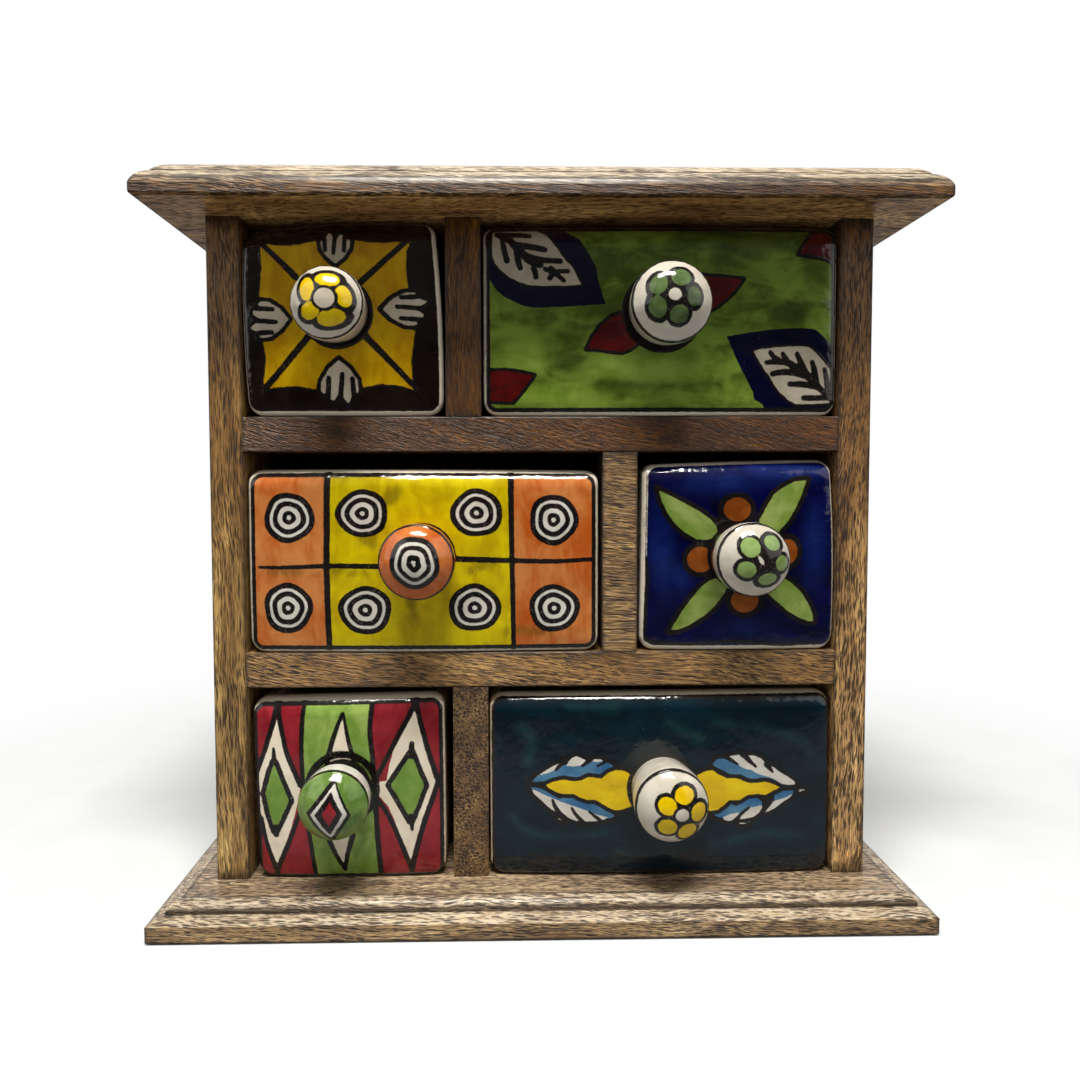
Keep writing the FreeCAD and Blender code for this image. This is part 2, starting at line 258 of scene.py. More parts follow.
def wood(name, size, shift, look):
    """Open-pored wood, from a row of BOARDS. size is the lowest and highest
    corner of the board, whose edges are darkened by scorching and by painted
    shade where they meet other parts."""
    grain, slant, pore_length, pore_close, pore_size, light, burnt = look[:7]
    stain_and_painted_light, painted_light_up, painted_light_down, high, worn, grime = look[7:]
    low_corner, high_corner = size
    s = Shader(name)
    place = s.millimetres(shift)
    axes = s.node("ShaderNodeSeparateXYZ", {0: place}).outputs
    order = {"X": (0, 2, 1), "Y": (1, 0, 2), "Z": (2, 0, 1)}[grain]
    along, across, through = (axes[i] for i in order)
    wander = s.noise(place, 0.02, 2.0)
    drift = s.calc("MULTIPLY_ADD", wander, 9.0, s.calc("MULTIPLY", along, slant))
    across = s.calc("ADD", across, drift)
    through = s.calc("ADD", through, s.calc("MULTIPLY", drift, 0.6))
    grained = s.node(
        "ShaderNodeCombineXYZ", {0: along, 1: across, 2: through}
    ).outputs[0]

    figure = s.noise(s.stretched(grained, (0.014, 0.12, 0.12)), 1.0, 3.0, 0.55, 0.5)
    tone = s.step(figure, 0.22, 0.78)
    colour = s.blend(s.step(tone, 0.0, light), WOOD_DARK, WOOD_MID)
    colour = s.blend(s.step(tone, light, 1.0), colour, WOOD_LIGHT)
    streak = s.noise(s.stretched(grained, (0.035, 1.1, 1.1)), 1.0, 3.0, 0.65)
    colour = s.blend(s.step(streak, 0.44, 0.62, 0.0, 0.74), colour, WOOD_DARK)
    fibre = s.noise(s.stretched(grained, (0.22, 3.2, 3.2)), 1.0, 2.0, 0.6)
    fibre_tone = s.step(fibre, 0.3, 0.7, 0.68, 1.3)
    grey = s.node("ShaderNodeCombineColor", {0: fibre_tone, 1: fibre_tone, 2: fibre_tone})
    colour = s.blend(1.0, colour, grey.outputs[0], "MULTIPLY")

    # Painted light: faces that look up or down get stains of their own, so a face is lighter or darker by
    # how it faces, and the stain changes towards the board's top, which shades its upper part.
    facing = s.node("ShaderNodeTexCoord").outputs["Normal"]
    facing = s.node("ShaderNodeSeparateXYZ", {0: facing}).outputs[2]
    looks_up = s.step(facing, 0.15, 0.75)
    looks_down = s.step(facing, -0.75, -0.15, 1.0, 0.0)
    tint_with_painted_light = s.blend(looks_up, (*stain_and_painted_light, 1.0), (*painted_light_up, 1.0))
    tint_with_painted_light = s.blend(looks_down, tint_with_painted_light, (*painted_light_down, 1.0))
    foot = low_corner[2] + shift[2]
    towards_shaded_top = s.step(axes[2], foot, high_corner[2] + shift[2])
    tint_with_painted_light = s.blend(1.0, tint_with_painted_light, s.blend(towards_shaded_top, (1, 1, 1, 1), (*high, 1.0)), "MULTIPLY")
    colour = s.blend(1.0, colour, tint_with_painted_light, "MULTIPLY")

    margins = []
    for axis in range(3):
        middle = (low_corner[axis] + high_corner[axis]) / 2 + shift[axis]
        half = (high_corner[axis] - low_corner[axis]) / 2
        off_centre = s.calc("ABSOLUTE", s.calc("SUBTRACT", axes[axis], middle))
        margins.append(s.calc("SUBTRACT", half, off_centre))
    a, b, c = margins
    ragged = s.noise(s.stretched(place, (0.16, 0.16, 0.16)), 1.0, 3.0, 0.65)
    from_side = s.calc("MINIMUM", a, b)
    # Moulded faces that look up are blended towards pale wood in patches: partly real wear, partly a painted
    # sheen.
    patchy = s.noise(s.stretched(grained, (0.07, 0.8, 0.8)), 1.0, 4.0, 0.7)
    moulded = s.step(from_side, MOULDED - 0.6, MOULDED + 0.6, worn[0], worn[1])
    bare_and_sheen = s.calc("MULTIPLY", looks_up, moulded)
    bare_and_sheen = s.calc("MULTIPLY", bare_and_sheen, s.step(patchy, 0.40, 0.58, 0.15, 1.0), clamp=True)
    colour = s.blend(bare_and_sheen, colour, BARE_AND_SHEEN)

    crowd = s.noise(s.stretched(grained, (0.03, 0.16, 0.16)), 1.0, 2.0)
    reach = s.step(crowd, 0.3, 0.7, pore_size * 0.72, pore_size * 1.12)
    opened = []
    for length, close, away in (
        (pore_length, pore_close, 0.0),
        (pore_length * 0.62, pore_close * 1.3, 5.3),
    ):
        spot = s.cells(s.moved(s.stretched(grained, (1 / length, close, close)), away))
        opened.append(s.step(s.calc("SUBTRACT", spot, reach), -0.09, 0.09, 1.0, 0.0))
    pore = s.calc("MAXIMUM", opened[0], s.calc("MULTIPLY", opened[1], 0.8))
    colour = s.blend(s.calc("MULTIPLY", pore, 0.92), colour, PORE)
    # Dark lines at the listed distances from the sides: painted shade in the moulding's creases.
    for groove in grime:
        off = s.calc("ABSOLUTE", s.calc("SUBTRACT", from_side, groove))
        off = s.calc("SUBTRACT", off, s.calc("MULTIPLY_ADD", ragged, 1.8, -0.45))
        colour = s.blend(s.step(off, -0.3, 0.3, 0.75, 0.0), colour, SCORCH_AND_SHADE)
    # Edges and grain ends darkened: real scorching, and painted shade along the edges where the boards meet
    # the drawers and each other.
    edge = s.calc(
        "MAXIMUM",
        from_side,
        s.calc("MINIMUM", s.calc("MAXIMUM", a, b), c),
    )
    reached = s.calc("SUBTRACT", edge, s.calc("MULTIPLY", ragged, 2.2))
    scorched_and_shaded = s.step(reached, -1.5, 0.5, 0.85, 0.0)
    end = s.calc("SUBTRACT", margins[order[0]], s.calc("MULTIPLY", ragged, burnt * 1.6))
    singed_and_shaded = s.step(end, -burnt * 0.8, burnt * 0.6, 0.8, 0.0)
    colour = s.blend(s.calc("MAXIMUM", scorched_and_shaded, singed_and_shaded), colour, SCORCH_AND_SHADE)

    rough = s.step(fibre, 0.25, 0.75, 0.26, 0.50)
    rough = s.calc("MULTIPLY_ADD", pore, 0.25, rough)
    height = s.calc("MULTIPLY_ADD", pore, -0.16, s.calc("MULTIPLY", fibre, 0.16))
    height = s.calc("MULTIPLY_ADD", streak, 0.9, height)
    bare_wood = s.step(looks_down, 0.0, 1.0, 1.0, 0.1)
    return s.finish(
        Base_Color=colour,
        Roughness=rough,
        Specular_IOR_Level=s.calc("MULTIPLY", bare_wood, 0.5),
        Coat_Weight=s.calc("MULTIPLY", bare_wood, 0.3),
        Coat_Roughness=0.24,
        Normal=s.bump(height),
    )


def plywood(name):
    s = Shader(name)
    place = s.millimetres()
    sheet = s.noise(s.stretched(place, (0.13, 0.4, 0.012)), 1.0, 4.0, 0.6, 0.8)
    colour = s.blend(s.step(sheet, 0.35, 0.65), srgb(170, 134, 92), srgb(206, 174, 130))
    fibre = s.noise(s.stretched(place, (2.2, 2.0, 0.06)), 1.0, 2.0, 0.6)
    colour = s.blend(s.step(fibre, 0.45, 0.75, 0.0, 0.5), colour, srgb(128, 96, 62))
    return s.finish(
        Base_Color=colour,
        Roughness=s.step(fibre, 0.2, 0.8, 0.6, 0.8),
        Normal=s.bump(s.calc("MULTIPLY", fibre, 0.08)),
    )


def steel(name):
    s = Shader(name)
    place = s.millimetres()
    blotch = s.noise(place, 0.5, 3.0)
    brushed = s.noise(s.stretched(place, (6.0, 0.4, 6.0)), 1.0, 3.0)
    colour = s.blend(s.step(blotch, 0.35, 0.7), srgb(176, 178, 182), srgb(138, 138, 136))
    return s.finish(
        Base_Color=colour,
        Metallic=1.0,
        Roughness=s.step(brushed, 0.3, 0.7, 0.28, 0.46),
        Normal=s.bump(s.calc("MULTIPLY", brushed, 0.02)),
    )


# Drawing in millimetres: each function gives the distance of every point
# from a painted shape, below zero inside it.
def smooth_curve(points, steps=6):
    """A Catmull-Rom curve through the points, with straight-on ends."""
    p = np.asarray(points, float)
    ends = np.vstack([2 * p[0] - p[1], p, 2 * p[-1] - p[-2]])
    t = (np.arange(steps) / steps)[None, :, None]
    a, b, c, d = (q[:, None, :] for q in (ends[:-3], ends[1:-2], ends[2:-1], ends[3:]))
    curve = 0.5 * (
        2 * b
        + (c - a) * t
        + (2 * a - 5 * b + 4 * c - d) * t**2
        + (3 * b - a - 3 * c + d) * t**3
    )
    return np.vstack([curve.reshape(-1, 2), p[-1]])


def nearest(at, line, closed):
    """Distance from a line of points, and the share of the way along it."""
    line = np.asarray(line, float)
    starts = line if closed else line[:-1]
    ends = np.roll(line, -1, 0) if closed else line[1:]
    best = np.full(len(at), np.inf)
    share = np.zeros(len(at))
    for i, (a, b) in enumerate(zip(starts, ends)):
        run = b - a
        t = np.clip(((at - a) @ run) / max(run @ run, 1e-12), 0, 1)
        gap = np.hypot(*(at - a - t[:, None] * run).T)
        closer = gap < best
        best[closer] = gap[closer]
        share[closer] = (i + t[closer]) / len(starts)
    return best, share


def area(at, points):
    line = np.asarray(points, float)
    gap, _ = nearest(at, line, True)
    inside = np.zeros(len(at), bool)
    x, z = at.T
    for (x0, z0), (x1, z1) in zip(line, np.roll(line, -1, 0)):
        spans = (z0 > z) != (z1 > z)
        if z1 != z0:
            inside ^= spans & (x < (x1 - x0) * (z - z0) / (z1 - z0) + x0)
    return np.where(inside, -gap, gap)


def stroke(at, points, width, end_width):
    line = smooth_curve(points) if len(points) > 2 else points
    gap, share = nearest(at, line, False)
    return gap - (width + (end_width - width) * share) / 2


def ellipse(at, centre, radii, turn=0.0):
    a = math.radians(turn)
    x, z = (at - np.asarray(centre, float)).T
    u = (x * math.cos(a) + z * math.sin(a)) / radii[0]
    v = (z * math.cos(a) - x * math.sin(a)) / radii[1]
    return (np.hypot(u, v) - 1) * min(radii)


def ring(at, knob, radius, width):
    """The line painted round the foot of a knob."""
    return np.abs(ellipse(at, knob[:2], (radius, radius))) - width / 2


def outline(shape, width, outset=0.0):
    return np.abs(shape - outset) - width / 2


def union(*shapes):
    return np.minimum.reduce(shapes)


def overlap(*shapes):
    return np.maximum.reduce(shapes)


def areas(at, *shapes):
    return union(*[area(at, points) for points in shapes])


def strokes(at, *rows):
    return union(*[stroke(at, *row) for row in rows])


def ellipses(at, *rows):
    return union(*[ellipse(at, *row) for row in rows])


# The painting of each drawer front, in the chest's X and Z. Each function
# gets the points and their distance from the border of the paint, below
# zero inside it, and returns its layers from the lowest up as
# (paint, distance).
def paint_top_left(at, border, knob):
    field = area(
        at,
        [(-105.2, 253.8), (-100, 252.7), (-94, 252.4), (-88, 253.3), (-80, 255.2), (-72, 254.8),
         (-64, 253.7), (-58, 253.5), (-52, 254.2), (-48.2, 255.2), (-50.1, 250), (-50.4, 244),
         (-49.4, 236), (-46.2, 228), (-47.4, 219), (-48.7, 210), (-48.2, 203), (-46, 197.8), (-53, 200.1),
         (-60, 200.8), (-67, 199.4), (-76, 196.6), (-84, 198.6), (-92, 200), (-100, 199.4),
         (-105.2, 197.8), (-104, 205), (-103.4, 211), (-105, 219), (-107.3, 226), (-105.6, 234),
         (-104.7, 244)],
    )
    leaves = []
    fingers = []
    for tip, turn, size in (
        ((-76.6, 245.0), 0, (1.0, 1.0)),
        ((-59.9, 228.7), -90, (1.12, 1.4)),
        ((-75.9, 210.3), 180, (1.27, 1.36)),
        ((-94.0, 225.0), 90, (1.22, 1.23)),
    ):
        a = math.radians(turn)
        x, z = (at - np.asarray(tip)).T
        wide, tall = size
        local = np.stack(
            [(x * math.cos(a) + z * math.sin(a)) / wide, (z * math.cos(a) - x * math.sin(a)) / tall],
            1,
        )
        leaf = [
            (0, 0), (3.2, 2.6), (5.4, 6.0), (5.7, 8.6), (4.7, 9.9), (3.5, 9.2),
            (2.7, 11.3), (1.4, 11.5), (-0.2, 9.2), (-1.5, 11.4), (-2.7, 12.5),
            (-3.6, 10.8), (-4.2, 8.7), (-5.1, 9.7), (-5.9, 8.8), (-5.6, 5.6), (-3.2, 2.4),
        ]
        scale = min(size)
        leaves.append(area(local, leaf) * scale)
        for line in (
            [(3.0, 5.2), (3.3, 10.2)],
            [(-0.9, 4.2), (-0.3, 10.6)],
            [(-3.9, 5.4), (-4.2, 9.4)],
        ):
            fingers.append(stroke(local, line, 1.2, 1.4) * scale)
    white = union(*leaves)
    lines = union(
        outline(white, 1.3, 0.5),
        union(*fingers),
        strokes(
            at,
            ([(-105.4, 253.9), (-98, 247), (-91.5, 240.4)], 1.5, 2.3),
            ([(-48.8, 255.4), (-58, 247.2), (-67.5, 238.6)], 1.6, 2.2),
            ([(-104.8, 198.2), (-96, 208), (-87, 218.6)], 2.1, 2.3),
            ([(-46.4, 198.6), (-57, 209.6), (-66.8, 219.6)], 1.8, 2.4),
        ),
        overlap(outline(field, 0.5), 0.3 - white),
        ring(at, knob, 12.0, 2.8),
    )
    return [
        ("umber", border),
        ("mustard", field),
        ("grey_white", white),
        ("black", lines),
    ]


def paint_top_right(at, border, knob):
    navy = areas(
        at,
        [(-21.4, 246), (-20.4, 242), (-19, 239), (-16.6, 235.6), (-14, 233.6), (-11, 232), (-8, 230.4),
         (-4, 229.5), (0, 229.4), (12, 229.9), (23.8, 230.7), (22.3, 235), (20.9, 240), (20.1, 244.5),
         (18.7, 247), (16.5, 251), (14, 254.6), (10.5, 256.8), (7.5, 259.2), (5, 261), (-22, 261)],
        [(69.3, 218.8), (78, 220.3), (86, 221.4), (92, 221.9), (98, 222.1), (103, 221.7), (106, 219.4),
         (109, 216.5), (113, 212.3), (113, 192), (84, 192), (83.6, 193.4), (80, 195.3), (79.6, 198),
         (78, 201), (75.5, 205.5), (73, 210.5), (71, 215)],
    )
    white = areas(
        at,
        [(-18.8, 258.8), (-10, 258.7), (-1.5, 258.7), (2, 256.3), (5, 252.8), (7.3, 249.5), (9.2, 247),
         (11, 245.4), (12.3, 243.6), (13.6, 240.6), (15.2, 237.5), (9, 237.2), (0, 237.1), (-5, 237.5),
         (-9, 238.8), (-12.5, 240.6), (-15.5, 243), (-17.8, 245.8), (-19, 248.6), (-19.1, 253)],
        [(79.1, 213.5), (82, 214.4), (87, 215.1), (93, 215.5), (98, 215.7), (100.7, 215.5), (102.7, 214.2),
         (105, 212), (107, 210), (108.5, 208), (110.6, 206.8), (111, 203), (110.8, 196.4), (109.4, 193.8),
         (104, 193.3), (96.2, 193.2), (93, 194.8), (89.5, 197.8), (87, 201), (85.3, 204), (83.5, 206.2),
         (82, 208.6), (80.3, 211.3)],
    )
    veins = [
        ([(-16.6, 256.8), (-13, 255), (-10, 252.2), (-7, 249.2), (-4.2, 246.8), (-1, 245.6)], 1.8, 2.6),
        ([(-15.6, 256.8), (-10, 256.6), (-4.8, 256.1)], 1.7, 1.3),
        ([(-11, 252.9), (-4, 251.9), (1.0, 250.9)], 1.9, 1.5),
        ([(-5.6, 248.4), (0, 247.1), (6.8, 246.6)], 1.9, 1.4),
        ([(-14.9, 255.4), (-14.2, 251), (-13.2, 247)], 1.2, 1.7),
        ([(-9.6, 251.5), (-9.1, 247.6), (-8.2, 244.3)], 1.8, 1.7),
        ([(-3.2, 244), (-2.6, 242.4), (-2.3, 240.8)], 1.6, 1.5),
        ([(1.2, 243.7), (4.5, 242.4), (8.0, 239.5)], 1.2, 1.2),
        ([(2.8, 240.3), (5, 242.6), (9.6, 242.9)], 1.4, 1.1),
        ([(3.2, 244.2), (4.8, 242.4)], 1.0, 1.8),
        ([(111, 194.2), (108, 197.3), (104.5, 200.3), (102, 203), (98.5, 205.6)], 1.2, 2.9),
        ([(98.5, 205.6), (95, 207.9), (92, 209.3), (88, 209.4), (84.6, 209.1)], 2.6, 1.3),
        ([(99.6, 205.4), (97.9, 209), (96.3, 212.3)], 2.2, 1.3),
        ([(103.8, 202), (103.2, 206), (102.2, 209.3)], 2.2, 1.3),
        ([(108.6, 198.4), (108, 203), (107.2, 206.8)], 1.8, 1.2),
        ([(92.4, 209.4), (91.6, 211), (90.8, 212.4)], 2.0, 1.2),
        ([(90, 209.4), (87.6, 211), (86, 212.9)], 2.0, 1.2),
        ([(100.6, 204.2), (95, 205.5), (90, 205.5), (87, 204.9)], 2.4, 1.5),
        ([(104.4, 200.4), (99, 201), (93.6, 201.1)], 2.4, 1.4),
        ([(109.4, 196.3), (104, 195.9), (99.2, 195.9)], 1.7, 1.5),
    ]
    red = areas(
        at,
        [(-20, 206.2), (-14, 206.4), (-8, 205.6), (-2.8, 204.4), (-6, 200.2), (-9.5, 195.8), (-11, 194.2),
         (-20, 194.6)],
        [(16.4, 213.9), (18.8, 218.9), (22, 223.2), (26, 226.4), (30, 227.8), (36, 228), (40, 220),
         (36, 216), (33, 213.8), (30, 212.7), (25, 213.2), (20, 213.9)],
        [(58, 241.6), (68, 240.9), (75.6, 240.2), (72, 235.2), (68, 231.6), (64.5, 229), (58, 226)],
        [(103.4, 259.4), (100, 255.4), (97.4, 251.6), (96.4, 249.6), (100, 249.1), (106, 248.2),
         (109, 247.2), (113, 248), (113, 260)],
    )
    inner = strokes(
        at,
        ([(-19, 199), (-13, 200.8), (-6, 203.4)], 2.2, 0.5),
        ([(-18, 196.8), (-12, 197.6)], 1.6, 0.6),
        ([(22, 216), (28, 219.4), (35, 221)], 0.8, 2.4),
        ([(25, 223), (30, 224.4), (35, 223.6)], 0.6, 1.6),
        ([(64, 235), (69, 236.6), (73, 239)], 2.4, 0.5),
        ([(100, 251), (105, 253.4), (110, 254)], 0.5, 2.6),
    )
    bright = ellipses(
        at,
        ((-7.5, 210), (10, 5.5)),
        ((38, 207), (22, 5)),
        ((0, 197), (15, 3.5)),
        ((105, 224), (6, 5)),
    )
    # Darker olive patches: brushwork, and across the top a painted shade.
    deep = union(
        ellipses(
            at,
            ((75, 255), (24, 6)),
            ((9.5, 210.5), (7, 5)),
            ((91, 227.5), (9, 4)),
        ),
        stroke(at, [(19.5, 201.4), (44, 200.4), (66.5, 201.2)], 1.6, 2.2),
    )
    lines = union(
        outline(white, 0.7, 0.1),
        outline(red, 1.0, 0.3),
        strokes(at, *veins) - 0.15,
        outline(border, 1.3, -0.5),
        ring(at, knob, 14.0, 2.6),
    )
    return [
        ("olive", border),
        ("olive_bright", overlap(bright, border)),
        ("olive_deep_and_shade", overlap(deep, border)),
        ("navy", overlap(navy, border)),
        ("crimson", overlap(red, border + 0.2)),
        ("dark_red", overlap(inner, red + 0.6)),
        # The white here is a darker copy, painted shade.
        ("stone_white", white),
        ("black", overlap(lines, border - 0.4)),
    ]


def bullseye(at, centre, radii):
    """The black rings and the white ground of a target."""
    x, z = (at - np.asarray(centre)).T
    angle = np.arctan2(z, x)
    wave = 0.25 * np.sin(3 * angle + centre[0]) + 0.16 * np.sin(5 * angle + centre[1])
    share = np.hypot(x / radii[0], z / radii[1])
    mean = (radii[0] + radii[1]) / 2
    out = share * mean + wave * np.clip(share, 0, 1)
    rings = union(
        np.abs(out - mean * 0.915) - 0.9,
        np.abs(out - mean * 0.575) - 0.82,
        np.abs(out - mean * 0.19) - 0.68,
    )
    return rings, out - mean * 0.95


def paint_middle_left(at, border, knob):
    x = at[:, 0]
    orange = np.maximum(border, union(x + 81.2, -11.3 - x))
    rings, whites = [], []
    for centre, radii in (
        ((-95.5, 151.0), (9.3, 9.2)),
        ((-67.8, 152.6), (9.6, 8.8)),
        ((-24.8, 152.7), (9.6, 8.8)),
        ((4.3, 150.0), (9.0, 9.4)),
        ((-96.3, 116.8), (9.0, 9.4)),
        ((-67.0, 116.0), (9.8, 9.0)),
        ((-25.7, 116.7), (9.7, 8.8)),
        ((4.5, 116.3), (9.4, 8.8)),
    ):
        black, white = bullseye(at, centre, radii)
        rings.append(black)
        whites.append(white)
    lines = union(
        union(*rings),
        strokes(
            at,
            ([(-81, 168), (-81.2, 150), (-81.4, 130), (-80.9, 100)], 2.2, 2),
            ([(-11.9, 168), (-11.9, 160), (-11.6, 140), (-10.9, 100)], 2.2, 1.5),
            ([(-107, 132.3), (-97, 132.2), (-81, 132.8), (-60, 132.6)], 0.9, 1.8),
            ([(-34, 135.4), (-20, 134.9), (-11, 134.6), (5, 134.2), (19.6, 134.9)], 2, 1.3),
        ),
        outline(border, 1.3, -0.6),
        ring(at, knob, 12.6, 0.9),
    )
    smudge = ellipses(
        at,
        ((-50, 118.5), (2.5, 6), 20),
        ((-72, 130.4), (6, 1.6), -8),
        ((-56.4, 159), (2.6, 5), -50),
        ((-22, 132.6), (7, 1.4), 20),
        ((-66, 142.6), (4, 1.6), -30),
        ((-96, 130.6), (8, 1.2), 0),
        ((-4, 107.6), (12, 1.5), 0),
    )
    return [
        ("yellow", border),
        ("orange", orange),
        ("soot", smudge),
        ("white", union(*whites)),
        ("black", overlap(lines, border - 0.4)),
    ]


def paint_middle_right(at, border, knob):
    leaves = areas(
        at,
        [(43.6, 161.8), (48, 159.7), (54, 156.6), (60, 153.3), (64, 150.4), (66.4, 147.6), (66.8, 145.2),
         (65, 142.6), (62, 141.9), (58.5, 142.1), (54, 144.6), (50, 148.2), (47, 152.6), (45, 157)],
        [(101.2, 165.3), (96, 164.7), (91, 162.3), (87.5, 159.5), (85.4, 156), (83.6, 152.6), (82, 150),
         (82, 142), (88, 142), (90.6, 145.6), (94, 149.4), (97, 154.6), (99.4, 160)],
        [(48.3, 107.1), (50.2, 110.4), (53, 115.2), (56, 119.6), (59.5, 124), (63, 127), (66.6, 128.2),
         (73, 128), (69.4, 121.4), (66, 116.6), (62, 112.9), (56, 109), (52, 107.5)],
        [(104.3, 110.4), (104, 113.6), (102, 118.2), (99, 122.6), (95, 126.2), (92.4, 127.8), (84, 128),
         (85.4, 121.6), (89, 118.5), (93, 115), (98, 111.9), (102, 110.4)],
    )
    dots = ellipses(
        at,
        ((74, 153.8), (5.6, 4.9)),
        ((60, 134.8), (5.4, 5.2)),
        ((93.2, 137.6), (4.4, 5.2)),
        ((77.2, 119), (5.7, 5)),
    )
    sky = ellipses(
        at,
        ((93, 169), (14, 4.5)),
        ((66, 164), (12, 4)),
        ((45.5, 138), (4.5, 16), 6),
        ((52, 128), (6, 4), -40),
        ((104, 140), (4, 12)),
        ((78, 108), (8, 3.5)),
    )
    lines = union(
        outline(leaves, 1.5, 0.5),
        outline(dots, 1.6, 0.6),
        ring(at, knob, 11.7, 1.4),
        area(at, [(65, 150), (67.6, 151.4), (70, 149), (70, 146), (66.6, 147.4)]),
        strokes(
            at,
            ([(39.4, 168.6), (39, 140), (39.9, 128), (39.1, 104)], 1, 1.2),
            ([(39.4, 104), (44, 102.6), (60, 102.2), (74, 103.2), (90, 101.8), (106, 102.2)], 1.3, 1),
        ),
    )
    return [
        ("cobalt", border),
        ("cobalt_bright", overlap(sky, border)),
        ("leaf_green", leaves),
        ("rust", dots),
        ("black", overlap(lines, border - 0.4)),
    ]


def paint_bottom_left(at, border, knob):
    green = area(
        at,
        [(-91, 90), (-91, 80), (-91.6, 65), (-91.2, 50), (-90, 38), (-88.4, 25), (-86.8, 8), (-61.8, 8),
         (-63, 25), (-64.2, 42), (-64.8, 56), (-65.4, 70), (-65, 90)],
    )
    big = areas(
        at,
        [(-101, 75), (-99.2, 67), (-97, 60), (-94.9, 54), (-92.4, 47.6), (-94, 40), (-96, 33), (-99, 24),
         (-101.8, 16.6), (-104.9, 25), (-107, 33), (-108.4, 40), (-110, 48.4), (-107.5, 56), (-104.5, 65)],
        [(-48.4, 78.4), (-45.5, 66), (-42.6, 57), (-40.7, 50), (-43, 43.4), (-46, 34), (-49, 25),
         (-50.7, 18.2), (-54, 27), (-57, 35.6), (-59.4, 41), (-63.4, 45.6), (-63.4, 50), (-59.6, 50.4),
         (-58.6, 56), (-57, 62), (-53, 70)],
        [(-76.2, 75), (-74.4, 66), (-72.4, 58.6), (-70, 46), (-73, 33), (-74.6, 27), (-76.4, 17),
         (-81, 27.6), (-84, 46), (-81.4, 58.8), (-78.6, 67)],
    )
    small = areas(
        at,
        [(-102.4, 57.4), (-99.6, 50), (-96.7, 43), (-99.6, 36.6), (-102.4, 31), (-104.6, 38),
         (-106.1, 45.4), (-104.4, 52)],
        [(-50.1, 60.8), (-47.6, 54), (-45.2, 48.4), (-48, 41), (-50.5, 34.8), (-54.4, 42), (-58.2, 48.8),
         (-54, 55)],
    )
    lines = union(
        outline(small, 1.7, 0.85),
        strokes(
            at,
            ([(-102.6, 63), (-102.4, 58)], 0.7, 2),
            ([(-101.9, 32), (-102.1, 29.6)], 3, 2),
            ([(-50, 64.6), (-50.1, 60)], 1.6, 2.6),
            ([(-50.4, 36), (-50, 31)], 2.6, 0.8),
            ([(-101.4, 82), (-102.2, 75), (-105.6, 63.6), (-109.8, 52)], 2, 1.5),
            ([(-101.2, 80), (-99.6, 71), (-97.4, 61), (-94, 52.6), (-92.4, 49)], 1.6, 1.9),
            ([(-92.8, 38), (-96.6, 28), (-102, 15), (-101.8, 12)], 1.4, 2),
            ([(-107.6, 36), (-105.8, 26), (-102.4, 16)], 1, 1.8),
            ([(-76.5, 76), (-79.6, 67.6), (-82.2, 58)], 1.1, 1.9),
            ([(-75.9, 76.4), (-74.2, 67), (-71.4, 56)], 0.8, 1.7),
            ([(-82, 28.4), (-79.4, 22), (-76, 15.6)], 1.8, 1.1),
            ([(-72.6, 29.4), (-75, 21), (-75.8, 15.6)], 1.8, 1.1),
            ([(-48.8, 84), (-49.2, 79), (-57, 64), (-63.4, 51.6)], 2, 1.5),
            ([(-48.4, 80), (-44.4, 64), (-40.8, 52), (-40.4, 48.6), (-46, 32), (-50.2, 16),
              (-50.2, 12)], 1.7, 1.9),
            ([(-63.4, 44), (-58.6, 36), (-54.4, 26), (-50.6, 15.6)], 1.4, 1.7),
            ([(-90.9, 82), (-91.9, 66), (-91.5, 52), (-90.3, 38), (-88.6, 25), (-87, 12)], 1.5, 1.4),
            ([(-64.9, 82), (-65.8, 70), (-64.8, 58), (-64, 44), (-63, 25), (-62, 12)], 1.6, 1.8),
        ),
        ring(at, knob, 12.9, 2.4),
        outline(border, 1.2, -0.4),
    )
    return [
        ("red", border),
        ("green", overlap(green, border)),
        ("cream", overlap(big, border)),
        ("green_deep", small),
        ("black", overlap(lines, border - 0.4)),
    ]


